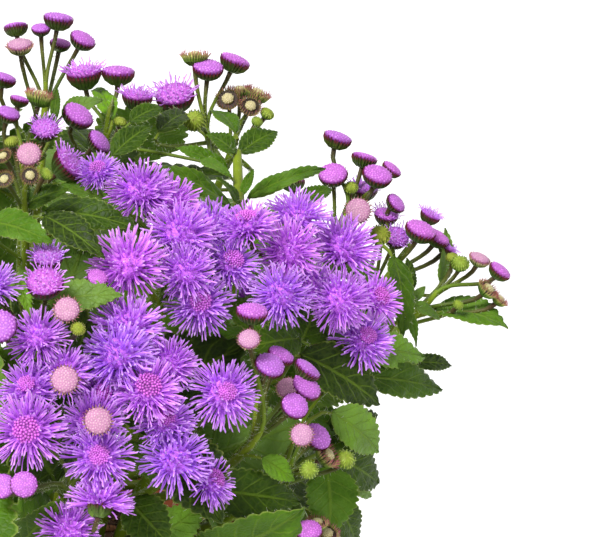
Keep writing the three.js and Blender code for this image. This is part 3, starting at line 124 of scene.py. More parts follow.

# ---------------------------------------------------------------- the front right, set out one by one
# A bunch is (shoot, fork across, down, back, whether it forks off the branch before it, heads); a head is
# (stage, across, down, width, lean right, lean toward, back), in squares of the sheet, back in millimetres.
BUNCHES: Final = (
    ("crest", 46, 82, 20, False, (
        ("bud", 58, 21, 31, 0.15, -0.15, 0), ("bud", 41, 30, 20, 0, 0.15, 0), ("bud", 16, 29, 25, -0.15, -0.45, 2),
        ("pale", 20, 47, 26, -0.05, 0.15, -4), ("bud", 60, 45, 22, 0.2, 0, 6), ("bud", 82, 41, 28, 0.5, 0.15, 0),
        ("bud", 4, 80, 25, 0.35, -0.1, 14),
    )),
    ("crest", 22, 152, 11, False, (
        ("fringed", 40, 98, 30, 0.25, -0.25, -4), ("bud", 19, 101, 20, 0.3, -0.2, -4),
        ("bud", 8, 115, 25, 0.35, 0.15, 0), ("half", 45, 130, 34, 0.1, 0.5, 0), ("half", 68, 165, 46, 1.1, 0.2, 6),
    )),
    ("brow", 108, 116, 10, False, (
        ("half", 84, 75, 43, -0.1, 0, -18), ("bud", 118, 75, 34, 0.05, -0.1, -18), ("half", 137, 98, 38, 0.1, 0, 0),
        ("bud", 77, 117, 34, 0.6, 0.3, 5), ("bud", 98, 143, 28, 1, 0.3, 12), ("green", 120, 122, 15, 0.2, 0.4, 4),
    )),
    ("brow", 24, 190, -3, False, (
        ("pale", 29, 155, 26, 0, 1.2, -10), ("green", 12, 142, 17, -0.2, 0.4, -8),
        ("fringed", 4, 157, 17, -0.5, 0.6, -8), ("fringed", 30, 176, 19, 0.1, 1.4, -11),
        ("green", 46, 174, 16, 0.6, 0.6, -8), ("fringed", 5, 180, 18, -0.4, 1, -9),
    )),
    ("mast", 238, 128, 15, False, (
        ("fringed", 228, 100, 24, -0.1, 1, -3), ("fringed", 250, 107, 22, 0.3, 1, -3),
        ("fringed", 257, 95, 26, 0.45, -0.15, 0), ("fringed", 240, 92, 24, 0, -0.15, 2),
        ("green", 267, 114, 17, 0.6, 0.4, -2), ("green", 257, 122, 14, 0.4, 0.8, -4),
    )),
    ("mast", 206, 128, 20, True, (
        ("half", 175, 97, 48, -0.1, 0.3, 0), ("fringed", 195, 58, 27, 0, -0.35, -2),
        ("bud", 208, 70, 32, 0.1, 0.15, -3), ("bud", 234, 63, 32, 0.4, -0.15, 0),
        ("green", 195, 121, 27, -0.2, 1.5, 10),
    )),
    ("mass", 172, 262, 24, False, (
        ("open", 98, 170, 42, -0.2, 0.5, 4), ("open", 140, 188, 64, -0.1, 0.7, 0),
        ("open", 172, 200, 60, 0.2, 0.5, 3), ("open", 180, 232, 68, 0, 0.9, -1), ("open", 215, 225, 60, 0.4, 0.7, 2),
        ("open", 125, 263, 76, -0.5, 1, 0), ("open", 186, 270, 60, 0.1, 1.1, 0), ("open", 232, 262, 56, 0.5, 0.9, 3),
        ("open", 200, 303, 62, 0.2, 1.6, 5),
    )),
    ("shoulder", 308, 268, 24, False, (
        ("open", 247, 222, 58, -0.1, 0.15, -6), ("open", 298, 213, 62, 0.1, 0.3, 2),
        ("open", 288, 250, 64, -0.1, 1.5, -3), ("open", 345, 245, 70, 0.5, 0.6, 1),
        ("open", 280, 295, 60, -0.2, 2, -3), ("open", 312, 284, 54, 0.2, 0.9, 3), ("open", 340, 300, 60, 0.2, 2, -3),
        ("open", 378, 298, 54, 1, 0.8, 1), ("open", 365, 338, 60, 0.6, 1.1, 2),
    )),
    ("shoulder", 348, 212, 15, False, (
        ("bud", 337, 140, 30, 0.35, -0.1, 0), ("bud", 333, 176, 31, -0.05, 0.45, -5),
        ("bud", 364, 160, 27, 0.3, -0.3, 1), ("bud", 377, 177, 32, 0.3, 0.25, -2), ("bud", 391, 170, 22, 0.75, 0, 2),
        ("green", 351, 188, 17, 0, 0.8, -4), ("half", 364, 190, 34, 0.1, 0.1, 4), ("pale", 358, 211, 27, 0, 2, -3),
        ("bud", 293, 184, 25, -0.1, -0.5, 16),
    )),
    ("flank", 398, 260, 2, False, (
        ("bud", 395, 204, 23, 1, 0.35, 0), ("half", 386, 216, 30, 0.2, 0.2, 3), ("half", 396, 238, 32, 0.3, 0.6, 2),
        ("green", 380, 235, 25, 0.2, 1.1, -5), ("bud", 420, 232, 33, 0.4, 0.15, -2),
        ("bud", 437, 239, 26, 0.6, 0.1, 3), ("half", 430, 216, 26, 0.5, 0, 2), ("half", 447, 248, 24, 0.8, 0, 5),
    )),
    ("flank", 438, 291, 0, False, (
        ("green", 460, 264, 22, 0.1, 0.7, -2), ("pale", 479, 260, 22, 0.4, 0.1, 0),
        ("bud", 499, 272, 25, 0.75, 0.05, 0), ("fringed", 487, 290, 23, 0.9, 0.15, -2),
        ("fringed", 499, 300, 18, 0.9, 0, 0), ("green", 458, 305, 13, 0.3, 0.8, -3),
        ("green", 452, 258, 15, -0.1, 0.5, 2),
    )),
    ("left", 38, 330, 12, False, (
        ("half", 48, 258, 38, 0, 0.35, 0), ("half", 45, 284, 46, 0, 0.55, -3), ("bud", 97, 279, 22, 0.3, 0.6, 0),
        ("pale", 67, 310, 27, 0, 1.5, -5), ("green", 78, 329, 18, 0.2, 1, -4), ("open", -8, 283, 52, -0.3, 0.5, 0),
        ("bud", 0, 328, 38, -0.2, 1, -3), ("open", 37, 335, 58, -0.2, 0.8, 0),
    )),
    ("heart", 112, 402, 26, False, (
        ("open", 130, 322, 70, 0.1, 0.4, 2), ("open", 118, 352, 74, -0.1, 0.8, 0),
        ("open", 172, 362, 56, 0.5, 0.8, 2), ("open", 62, 370, 58, -0.2, 0.9, 2), ("pale", 65, 380, 29, 0, 1.8, -7),
        ("open", 148, 388, 66, 0.2, 1, -1), ("open", 102, 396, 56, 0, 1, 5), ("open", 28, 388, 60, -0.3, 0.9, 2),
    )),
    ("skirt", 70, 484, 24, False, (
        ("open", 27, 430, 70, -0.15, 2.2, -3), ("open", 93, 422, 64, 0, 1, 1), ("pale", 98, 421, 29, 0.1, 2, -7),
        ("open", 99, 456, 66, 0.05, 2.1, -2), ("open", 102, 497, 62, 0.2, -0.5, -1),
        ("bud", 24, 485, 29, 0.1, 1.5, -6), ("bud", 3, 487, 28, -0.3, 1.2, -4), ("open", 68, 530, 60, 0, 1.5, 0),
    )),
    ("thigh", 182, 452, 24, False, (
        ("open", 225, 393, 66, 0.5, 1.9, -2), ("open", 165, 420, 58, 0.1, 0.9, 2),
        ("open", 175, 458, 66, 0.1, 1.4, 0), ("open", 213, 480, 52, 1.4, 0.7, 2),
    )),
    ("thigh", 262, 430, 4, False, (
        ("bud", 252, 314, 33, 0.1, 0.1, -4), ("pale", 249, 340, 23, 0, 0.9, -6), ("bud", 269, 367, 32, 0.4, 0.5, -3),
        ("bud", 280, 357, 29, 0.5, 0.1, 3), ("bud", 306, 371, 30, 0.75, -0.05, 0), ("bud", 305, 389, 33, 0.6, 0.4, 0),
        ("pale", 288, 389, 24, 0, 0.9, 2), ("bud", 294, 407, 30, 0.5, 0.8, -2),
    )),
    ("hip", 292, 462, 4, False, (
        ("pale", 302, 435, 24, 0, 2, -4), ("bud", 316, 438, 32, 0.8, 0.6, 1), ("fringed", 326, 456, 28, 1.2, 0.3, 0),
        ("green", 309, 470, 23, 0.1, 1.5, -4), ("green", 345, 460, 25, 0.3, 1, -2),
    )),
    ("hip", 318, 562, 4, False, (
        ("bud", 309, 532, 28, 0, 0.5, 0), ("fringed", 326, 535, 26, 0.3, 0.5, 0),
        ("fringed", 317, 524, 22, 0.1, 0.1, 3),
    )),
)

# A leaf is (across and down of its foot, across and down of its tip, width, back of foot, back of tip).
FRONT_LEAVES: Final = (
    (230, 206, 144, 163, 27, 12, 2), (247, 198, 327, 166, 19, 14, -22), (240, 207, 219, 177, 12, 10, -1),
    (241, 196, 254, 168, 10, 9, 0), (200, 160, 232, 176, 14, 6, 4), (236, 153, 207, 133, 24, 2, -2),
    (240, 153, 278, 130, 28, 6, -21), (62, 115, 103, 98, 22, 7, -1), (54, 122, 57, 86, 10, 4, -13),
    (130, 122, 163, 106, 22, 9, -2), (112, 156, 152, 124, 28, 9, -2), (24, 205, 68, 188, 26, 4, -3),
    (45, 212, 137, 226, 38, 10, 4), (-12, 222, 50, 240, 38, 2, -6), (44, 216, 104, 256, 36, 0, -4),
    (48, 302, 122, 294, 36, 6, -2), (18, 278, 31, 317, 15, 2, 2), (436, 308, 508, 325, 44, 4, 0),
    (441, 284, 447, 228, 19, 6, 4), (411, 304, 441, 319, 14, 4, -2), (409, 292, 408, 257, 15, 6, -1),
    (411, 301, 426, 286, 10, 5, -4), (393, 256, 404, 338, 30, -4, 13), (400, 300, 418, 346, 14, 10, 8),
    (298, 203, 333, 188, 20, 9, -11), (350, 350, 428, 356, 38, 12, -19), (352, 376, 446, 389, 38, 13, -14),
    (412, 362, 453, 365, 18, 14, 0), (300, 354, 382, 404, 56, 14, 4), (332, 412, 381, 452, 46, 10, 4),
    (326, 452, 382, 484, 46, 12, 6), (326, 466, 330, 536, 60, 12, 2), (332, 496, 358, 548, 32, 13, 2),
    (345, 482, 373, 498, 14, 16, 14), (168, 440, 222, 522, 72, 12, 0), (204, 488, 302, 502, 50, 12, 3),
    (262, 458, 295, 481, 24, 6, 2), (16, 548, 60, 501, 34, 9, 2), (300, 338, 246, 348, 40, 11, 11),
    (230, 300, 262, 336, 34, 14, 10), (128, 500, 170, 545, 48, 12, 4), (262, 404, 222, 420, 34, 16, 12),
    (316, 442, 380, 414, 40, 18, 12), (294, 358, 318, 300, 46, 18, 13), (158, 132, 190, 112, 26, 13, 8),
    (236, 133, 210, 109, 22, 1, -3),
)

# Small leaves deep between the blooms, by the same measures. They grow once the rest is settled.
SHADE_LEAVES: Final = (
    (112, 120, 94, 86, 22, 12, 10), (228, 172, 176, 146, 22, 12, 9), (104, 200, 60, 184, 22, 12, 11),
    (36, 380, -10, 348, 34, 15, 13), (348, 432, 298, 412, 30, 18, 17), (345, 336, 270, 308, 36, 22, 20),
    (388, 304, 336, 258, 36, 20, 18), (154, 540, 206, 502, 42, 15, 11), (172, 472, 116, 444, 36, 20, 16),
)

# An upright stem, as across, down and back of its foot and its top, and its radii from foot to top.
UPRIGHT: Final = ((239, 214, 11), (237, 152, 3))
UPRIGHT_RADII: Final = (1.25, 1.05, 0.9)

# The right-hand outline of the front sheet, as (down, across), behind which all that is set by rule stays.
OUTLINE: Final = (
    (-60, 20), (60, 60), (85, 215), (130, 240), (195, 255), (215, 340), (250, 430), (330, 440), (360, 405),
    (400, 368), (455, 355), (500, 342), (545, 330),
)
TUCK_STEP: Final = 0.97
TUCK_STEPS: Final = 16

# A direction is steep, and needs another helper than +Z, where its share of +Z is above this.
STEEP: Final = 0.8
TINY: Final = 1e-6
NO_LENGTH: Final = 1e-9

# ---------------------------------------------------------------- seeded rules for the rest of the dome
# A pair is the least value and how much a draw may add to it.
DRAW_FACTOR: Final = 1664525
DRAW_STEP: Final = 1013904223
DRAW_SPAN: Final = 2**32
SITE_SEED: Final = 101
SITE_SEED_STEP: Final = 17
DOME_SITES: Final = 34
DOME_LOWEST: Final = -0.44
GOLDEN_TURN: Final = math.pi * (3 - math.sqrt(5))
BUNCH_HEADS: Final = 5
BUNCH_SPACING: Final = 11.5
BUNCH_FORK_DEPTH: Final = 19.0
BUNCH_MIDDLE_RISE: Final = 2.5
BUNCH_UNEVENNESS: Final = 3.0
BUNCH_LEAN: Final = (0.9, 0.35, 0.3)
HEAD_TURN_PLAY: Final = 0.5
MIDDLE_SPREAD: Final = 0.15
RING_SPREAD: Final = (0.9, 0.2)
OPEN_WIDTH: Final = 14.0
OPEN_WIDTH_SHARES: Final = (0.88, 0.2)
SPRAY_HEADS: Final = 5
SPRAY_FORK_DEPTH: Final = 9.0
SPRAY_REACH: Final = 15.0
SPRAY_UNEVENNESS: Final = 6.0
SPRAY_LEAN: Final = (0.5, 0.8, 0.0625)
SPRAY_UPRIGHT: Final = 0.3
TUFT_FORK_DEPTH: Final = 10.0
TUFTS_BELOW: Final = -0.3
INNER_LEAVES: Final = 3
INNER_REACH: Final = 0.88
INNER_SEED: Final = 2311
RIM_TUFTS: Final = 11
RIM_TUFT_RADIUS: Final = 52.0
RIM_TUFT_HEIGHT: Final = 14.0
RIM_TUFT_STAGGER: Final = 7.0
BUD_WIDTH: Final = 6.2
BUD_WIDTH_SHARES: Final = (0.9, 0.2)
OPEN_ROOM: Final = 0.42
BUD_ROOM: Final = 0.5
TUFT_LEAVES: Final = 3
BUNCH_LEAVES: Final = 2
LEAF_CLEARANCE: Final = 1.6
LEAF_ROOT_ROOM: Final = 4.0
LEAF_STALK_SHARE: Final = 0.22
LEAF_DROOP: Final = 0.2
LEAF_STEP: Final = 0.05
STALK_ROOM: Final = (0.3, 0.5, 0.7)
BRANCH_ROOM_STEPS: Final = 10
LEAF_ROOM: Final = ((0.05, 0.0), (0.25, 0.3), (0.5, 0.4), (0.75, 0.25), (1.0, 0.0))
LEAF_TRIALS: Final = (
    (0, 0.95), (0.5, 0.95), (-0.5, 0.95), (1, 0.9), (-1, 0.9), (0, 0.8), (0.5, 0.8), (-0.5, 0.8), (1.6, 0.8),
    (0, 0.65), (0.7, 0.65), (-0.7, 0.65), (1.5, 0.6), (2.5, 0.7), (3.1, 0.9),
)
LEAF_LENGTH: Final = 31.0
LEAF_LENGTH_SHARES: Final = (0.8, 0.35)
LEAF_LEAN: Final = (0.3, 0.4)
LEAF_FACE: Final = (0.7, 0.3)
LEAF_WIDTH_SHARE: Final = 0.66
SECTOR_COUNT: Final = 6


class Stage(Enum):
    """How far a flower head has opened."""

    OPEN = "open"
    HALF = "half"
    BUD = "bud"
    PALE = "pale"
    FRINGED = "fringed"
    GREEN = "green"


class SiteKind(Enum):
    """What grows at a site of the dome."""

    BUNCH = "bunch"
    TUFT = "tuft"
    SPRAY = "spray"


SITE_KINDS: Final = (SiteKind.BUNCH, SiteKind.TUFT, SiteKind.SPRAY, SiteKind.TUFT)
SPRAY_STAGES: Final = ((Stage.HALF, 0.16), (Stage.PALE, 0.32), (Stage.GREEN, 0.42), (Stage.BUD, 1.0))
STAGE_SIZES: Final = {Stage.HALF: 1.25, Stage.PALE: 0.75, Stage.GREEN: 0.6, Stage.BUD: 1.0}


# ---------------------------------------------------------------- the plan
class Draws:
    """Repeatable draws in [0, 1)."""

    def __init__(self, seed: int) -> None:
        """Starts the row of draws at a seed."""
        self.state = seed

    def __call__(self) -> float:
        """The next draw."""
        self.state = (self.state * DRAW_FACTOR + DRAW_STEP) % DRAW_SPAN
        return self.state / DRAW_SPAN

    def above(self, least: float, more: float) -> float:
        """The next draw, as a value from least to least and more."""
        return least + more * self()


@dataclass
class Head:
    """A flower head: its middle, its width and the way it faces."""

    stage: Stage
    at: Array
    width: float
    axis: Array


@dataclass
class Leaf:
    """A leaf: where its stalk starts, its blade's foot and tip, its width and the way its upper side faces."""

    root: Array
    foot: Array
    tip: Array
    width: float
    face: Array

    def frame(self) -> tuple[float, Array, Array, Array]:
        """The blade's length, and the ways along it, up from it and aside."""
        way = unit(self.tip - self.foot)
        up, _ = cross_axes(way, self.face)
        return span(self.foot, self.tip), way, up, np.cross(way, up)

    def room(self) -> list[Array]:
        """Places inside the leaf that need clear room."""
        length, _, up, side = self.frame()
        room = []
        for share, spread in LEAF_ROOM:
            rise = LEAF_ARCH * length * 4 * share * (1 - share)
            middle = self.foot + share * (self.tip - self.foot) + rise * up
            signs = (-1, 0, 1) if spread else (0,)
            room.extend(middle + sign * spread * self.width * side for sign in signs)
        return room


class Room:
    """The room that heads, stalks, branches and settled leaves take up."""

    def __init__(self) -> None:
        """Starts with nothing taken."""
        self.places = np.empty((0, 3))
        self.reaches = np.empty(0)

    def take(self, places: Sequence[Array], reach: float) -> None:
        """Takes up all that is within a reach of some places."""
        self.places = np.vstack((self.places, places))
        self.reaches = np.append(self.reaches, np.full(len(places), reach))

    def fits(self, leaf: Leaf, reach: float) -> bool:
        """Whether all of a leaf is clear of the pot, the outline and what is taken.

        Args:
            leaf: The leaf.
            reach: How far out of the dome's middle it may reach, where the dome is at 1.

        Returns:
            Whether it is clear.
        """
        for at in leaf.room():
            is_over_pot = math.hypot(at[0], at[1]) <= POT_RIM_RADIUS + LEAF_CLEARANCE
            if is_over_pot and at[2] <= POT_HEIGHT + LEAF_CLEARANCE:
                return False
            if not is_within_outline(at, LEAF_CLEARANCE) or dome_reach(at) >= reach:
                return False
            gaps = np.linalg.norm(self.places - at, axis=1) - self.reaches
            if span(leaf.root, at) >= LEAF_ROOT_ROOM and gaps.min() <= LEAF_CLEARANCE:
                return False
        return True


@dataclass
class Bunch:
    """What one branch carries."""

    shoot: str
    fork: Array
    normal: Array
    draw: Draws
    leaf_count: int
    heads: list[Head] = field(default_factory=list)
    leaves: list[Leaf] = field(default_factory=list)
    forks_off_last: bool = False
    leaf_reach: float = math.inf


@dataclass
class Branch:
    """A curved branch from its start to its bunch's fork, and the roots of the stalks on it."""

    bunch: Bunch
    start: Array
    bend: Array
    roots: list[Array] = field(default_factory=list)

    def point(self, share: float) -> Array:
        """The place at a share of the branch's length."""
        rest = 1 - share
        return rest * rest * self.start + 2 * rest * share * self.bend + share * share * self.bunch.fork

    def points(self, steps: int) -> Array:
        """Evenly spaced places along the branch."""
        return np.array([self.point(share) for share in np.linspace(0, 1, steps + 1)])


@dataclass
class Shoot:
    """A stem in the soil, as its foot, knee and head, with the branches that leave it."""

    name: str
    stem: tuple[Array, Array, Array]
    branches: list[Branch]
    uprights: list[tuple[Array, Array]] = field(default_factory=list)


def span(start: Array, end: Array) -> float:
    """How far apart two places are."""
    return float(np.linalg.norm(end - start))


def unit(vector: Array) -> Array:
    """The direction of a vector."""
    return vector / np.linalg.norm(vector)


def units(vectors: Array, floor: float = 0.0) -> Array:
    """The directions of vectors along the last axis, with a floor under their lengths."""
    return vectors / (np.linalg.norm(vectors, axis=-1, keepdims=True) + floor)


def cross_axes(axis: Array, wanted: Array) -> tuple[Array, Array]:
    """Two directions square to an axis, the first as near as can be to a wanted one.

    Args:
        axis: The direction to be square to.
        wanted: The direction to be near to.

    Returns:
        The two directions.
    """
    across = wanted - (wanted @ axis) * axis
    if across @ across < TINY:
        other = UP if abs(axis[2]) < STEEP else RIGHT
        across = other - (other @ axis) * axis
    across = unit(across)
    return across, np.cross(axis, across)


def on_sheet(across: float, down: float, back: float) -> tuple[Array, float]:
    """The place on the dome, or nearest to it, that the eye sees through a square of the front sheet.

    Args:
        across: Squares from the sheet's left.
        down: Squares from the sheet's top.
        back: How far behind the dome, in millimetres.

    Returns:
        The place, and how many millimetres a square of the sheet spans there.
    """
    target = AIM + (across - SHEET_CENTRE[0]) * GRID * RIGHT + (SHEET_CENTRE[1] - down) * GRID * LIFT
    ray = unit(target - EYE)
    squash = np.array((1, 1, DOME_RADIUS / DOME_RISE))
    start = (EYE - DOME_CENTRE * UP) * squash
    step = ray * squash
    a, b, c = step @ step, start @ step, start @ start - DOME_RADIUS**2
    reach = (-b - math.sqrt(max(0.0, b * b - a * c))) / a + back
    return EYE + reach * ray, GRID * reach / EYE_DISTANCE


def sheet_square(point: Array) -> tuple[float, float]:
    """The square of the front sheet, across and down, through which the eye sees a place."""
    ray = point - EYE
    offset = ray * (EYE_DISTANCE / -(ray @ TOWARD)) + EYE - AIM
    return SHEET_CENTRE[0] + offset @ RIGHT / GRID, SHEET_CENTRE[1] - offset @ LIFT / GRID


def is_on_sheet(point: Array, normal: Array) -> bool:
    """Whether a place on the dome lies in the part that the front sheet sets out."""
    across, down = sheet_square(point)
    return normal @ TOWARD > SHEET_TURNED_AWAY and across > SHEET_LEFT and down < SHEET_FOOT


def is_within_outline(point: Array, room: float) -> bool:
    """Whether a place with some room round it is below the front sheet or within its right-hand outline."""
    across, down = sheet_square(point)
    if down >= OUTLINE[-1][0]:
        return True
    if down < OUTLINE[0][0]:
        return False
    return across + room / GRID < np.interp(down, *zip(*OUTLINE))


def dome_point(cosine: float, turn: float) -> Array:
    """A place on the dome by the cosine of its angle from the top and its turn about the axis."""
    sine = math.sqrt(1 - cosine * cosine)
    return np.array((
        DOME_RADIUS * sine * math.cos(turn),
        DOME_RADIUS * sine * math.sin(turn),
        DOME_CENTRE + DOME_RISE * cosine,
    ))


def dome_normal(point: Array) -> Array:
    """The way out of the dome at a place."""
    height = (point[2] - DOME_CENTRE) * (DOME_RADIUS / DOME_RISE) ** 2
    return unit(np.array((point[0], point[1], height)))


def dome_reach(point: Array) -> float:
    """How far out a place lies from the dome's middle, where the dome is at 1."""
    height = (point[2] - DOME_CENTRE) * DOME_RADIUS / DOME_RISE
    return math.hypot(point[0], point[1], height) / DOME_RADIUS


def tuck_in(point: Array) -> Array:
    """Moves a place towards the pot's axis until it lies within the outline."""
    tucked = point.copy()
    for _ in range(TUCK_STEPS):
        if is_within_outline(tucked, OPEN_WIDTH / 2):
            break
        tucked[:2] *= TUCK_STEP
    return tucked


def settle(point: Array, reach: float) -> Array:
    """Moves a place straight to or from the dome's middle until it lies a given reach out."""
    share = reach / dome_reach(point)
    return np.array((point[0] * share, point[1] * share, DOME_CENTRE + (point[2] - DOME_CENTRE) * share))


def leaning(normal: Array, aside: Array, weights: tuple[float, float, float]) -> Array:
    """A direction between a surface's normal, straight up and aside, by their weights."""
    return unit(weights[0] * normal + weights[1] * UP + weights[2] * aside)


class Plan:
    """Where every stem, head and leaf goes, by the same rules as the part's source."""

    def __init__(self) -> None:
        """Sets out all shoots with their branches, heads and leaves."""
        self.shoots = self._plan_shoots(self._hand_set_bunches() + self._rule_set_bunches())
        self._add_set_leaves(FRONT_LEAVES)
        self._settle_rule_leaves()
        self._add_set_leaves(SHADE_LEAVES)
        self._add_upright()

    @staticmethod
    def _hand_set_bunches() -> list[Bunch]:
        """The bunches of the front right."""
        bunches = []
        for i, (shoot, across, down, back, forks_off_last, rows) in enumerate(BUNCHES):
            fork = on_sheet(across, down, back)[0]
            bunch = Bunch(
                shoot, fork, dome_normal(fork), Draws(INNER_SEED + i), INNER_LEAVES,
                forks_off_last=forks_off_last, leaf_reach=INNER_REACH,
            )
            for stage, head_across, head_down, width, right, toward, head_back in rows:
                at, scale = on_sheet(head_across, head_down, head_back)
                bunch.heads.append(Head(Stage(stage), at, width * scale, unit(np.array((right, -toward, 1.0)))))
            bunches.append(bunch)
        return bunches

    @staticmethod
    def _rule_set_heads(site: Array, normal: Array, kind: SiteKind, draw: Draws) -> tuple[Array, list[Head]]:
        """The fork and heads of a bunch or spray at a site.

        Args:
            site: The site on the dome.
            normal: The way out of the dome there.
            kind: Bunch or spray.
            draw: The site's draws.

        Returns:
            The fork and the heads that lie within the outline.
        """
        east, north = cross_axes(normal, UP)
        is_bunch = kind is SiteKind.BUNCH
        fork = site - (BUNCH_FORK_DEPTH if is_bunch else SPRAY_FORK_DEPTH) * normal
        count = BUNCH_HEADS if is_bunch else SPRAY_HEADS
        heads = []
        for i in range(count):
            turn = (i + HEAD_TURN_PLAY * draw()) * math.pi * 2 / (count - 1)
            spread = (MIDDLE_SPREAD if i == 0 else draw.above(*RING_SPREAD)) * BUNCH_SPACING
            aside = math.cos(turn) * east + math.sin(turn) * north
            if is_bunch:
                at = settle(site + spread * aside, dome_reach(site))
                at = at + ((BUNCH_MIDDLE_RISE if i == 0 else 0) + BUNCH_UNEVENNESS * (draw() - 0.5)) * normal
                axis = leaning(normal, aside, BUNCH_LEAN)
                heads.append(Head(Stage.OPEN, at, OPEN_WIDTH * draw.above(*OPEN_WIDTH_SHARES), axis))
            else:
                rise = leaning(normal, spread * aside, SPRAY_LEAN)
                at = fork + draw.above(SPRAY_REACH, SPRAY_UNEVENNESS) * rise
                pick = draw()
                stage = next(stage for stage, share in SPRAY_STAGES if pick < share)
                width = BUD_WIDTH * STAGE_SIZES[stage] * draw.above(*BUD_WIDTH_SHARES)
                heads.append(Head(stage, at, width, unit(rise + SPRAY_UPRIGHT * UP)))
        return fork, [head for head in heads if is_within_outline(head.at, head.width / 2)]

    def _rule_set_bunches(self) -> list[Bunch]:
        """The bunches, sprays and tufts of leaves of the rest of the dome and of the rim."""
        sites = []
        for i in range(DOME_SITES):
            cosine = 1 + (DOME_LOWEST - 1) * (i + 0.5) / DOME_SITES
            site = dome_point(cosine, i * GOLDEN_TURN)
            normal = dome_normal(site)
            if not is_on_sheet(site, normal):
                kind = SiteKind.TUFT if cosine < TUFTS_BELOW else SITE_KINDS[i % len(SITE_KINDS)]
                sites.append((tuck_in(site), normal, TUFT_FORK_DEPTH, kind, i))
        for i in range(RIM_TUFTS):
            turn = i * 2 * math.pi / RIM_TUFTS
            normal = np.array((math.cos(turn), math.sin(turn), 0.0))
            height = POT_HEIGHT + RIM_TUFT_HEIGHT + RIM_TUFT_STAGGER * (i % 2)
            site = tuck_in(RIM_TUFT_RADIUS * normal + height * UP)
            sites.append((site, normal, 0.0, SiteKind.TUFT, DOME_SITES + i))
        bunches = []
        for site, normal, depth, kind, seed in sites:
            draw = Draws(SITE_SEED + SITE_SEED_STEP * seed)
            turn = math.atan2(site[1], site[0]) / (2 * math.pi)
            sector = math.floor((turn + 1) * SECTOR_COUNT) % SECTOR_COUNT
            fork, heads = site - depth * normal, []
            if kind is not SiteKind.TUFT:
                fork, heads = self._rule_set_heads(site, normal, kind, draw)
            leaf_count = TUFT_LEAVES if kind is SiteKind.TUFT else BUNCH_LEAVES
            bunches.append(Bunch(f"sector_{sector + 1}", fork, normal, draw, leaf_count, heads))
        return bunches

    @staticmethod
    def _stalk_roots(branch: Branch) -> list[Array]:
        """Where the stalks leave the last stretch of their branch, those of the highest heads last."""
        bunch = branch.bunch
        way = unit(bunch.fork - branch.bend)
        heights = [(head.at - bunch.fork) @ way for head in bunch.heads]
        order = sorted(heights)
        last = max(1, len(heights) - 1)
        return [branch.point(STALKS_END - STALKS_STRETCH * (1 - order.index(height) / last)) for height in heights]

    def _plan_shoots(self, bunches: list[Bunch]) -> list[Shoot]:
        """Stands the shoots in a ring in the soil, each leaning towards the middle of its forks."""
        shoots = []
        for name in dict.fromkeys(bunch.shoot for bunch in bunches):
            own = [bunch for bunch in bunches if bunch.shoot == name]
            middle = np.mean([bunch.fork for bunch in own], axis=0)
            foot = np.array((*SHOOT_RING_SHARE * middle[:2], SOIL_LEVEL - SHOOT_DEPTH))
            knee = np.array((*foot[:2], SOIL_LEVEL + 2 * SOIL_CROWN))
            height = SOIL_LEVEL + SHOOT_HEIGHT_SHARE * (middle[2] - SOIL_LEVEL)
            head = np.array((*SHOOT_SPREAD_SHARE * middle[:2], height))
            branches: list[Branch] = []
            for bunch in own:
                start = branches[-1].point(SIDE_FORK_SHARE) if bunch.forks_off_last else head
                bend = start + BEND_OUT_SHARE * (bunch.fork - start)
                bend[2] = start[2] + BEND_UP_SHARE * (bunch.fork[2] - start[2])
                branch = Branch(bunch, start, bend)
                branch.roots = self._stalk_roots(branch)
                branches.append(branch)
            shoots.append(Shoot(name, (foot, knee, head), branches))
        return shoots

    def _branches(self) -> list[Branch]:
        """All branches in order."""
        return [branch for shoot in self.shoots for branch in shoot.branches]

    def _add_upright(self) -> None:
        """Gives the upright stem to the shoot that passes nearest its top."""
        foot, top = (on_sheet(*place)[0] for place in UPRIGHT)

        def gap(shoot: Shoot) -> float:
            """How far the shoot's branches stay from the stem's top."""
            return min(span(top, branch.bunch.fork) for branch in shoot.branches)

        min(self.shoots, key=gap).uprights.append((foot, top))

    def _add_set_leaves(self, rows: Sequence[Numbers]) -> None:
        """Grows each listed leaf from the nearest spot of the branches.

        Args:
            rows: The leaves' measures.
        """
        spots = [(branch.bunch, branch.point(share)) for branch in self._branches() for share in LEAF_SPOTS]
        for foot_across, foot_down, tip_across, tip_down, width, foot_back, tip_back in rows:
            foot, scale = on_sheet(foot_across, foot_down, foot_back)
            tip = on_sheet(tip_across, tip_down, tip_back)[0]
            face = unit(dome_normal((foot + tip) / 2) + FRONT_LEAF_UP * UP + FRONT_LEAF_TOWARD * TOWARD)
            gaps = [float(np.sum((at - foot) ** 2)) for _, at in spots]
            bunch, root = spots.pop(int(np.argmin(gaps)))
            bunch.leaves.append(Leaf(root, foot, tip, width * scale, face))

    def _taken_room(self) -> Room:
        """The room that all heads, stalks, branches and set leaves take up."""
        room = Room()
        for branch in self._branches():
            for root, head in zip(branch.roots, branch.bunch.heads):
                room.take([head.at], (OPEN_ROOM if head.stage is Stage.OPEN else BUD_ROOM) * head.width)
                room.take([root + share * (head.at - root) for share in STALK_ROOM], BRANCH_RADIUS)
            room.take(branch.points(BRANCH_ROOM_STEPS), BRANCH_RADIUS)
            for leaf in branch.bunch.leaves:
                room.take(leaf.room(), LEAF_CLEARANCE)
        return room

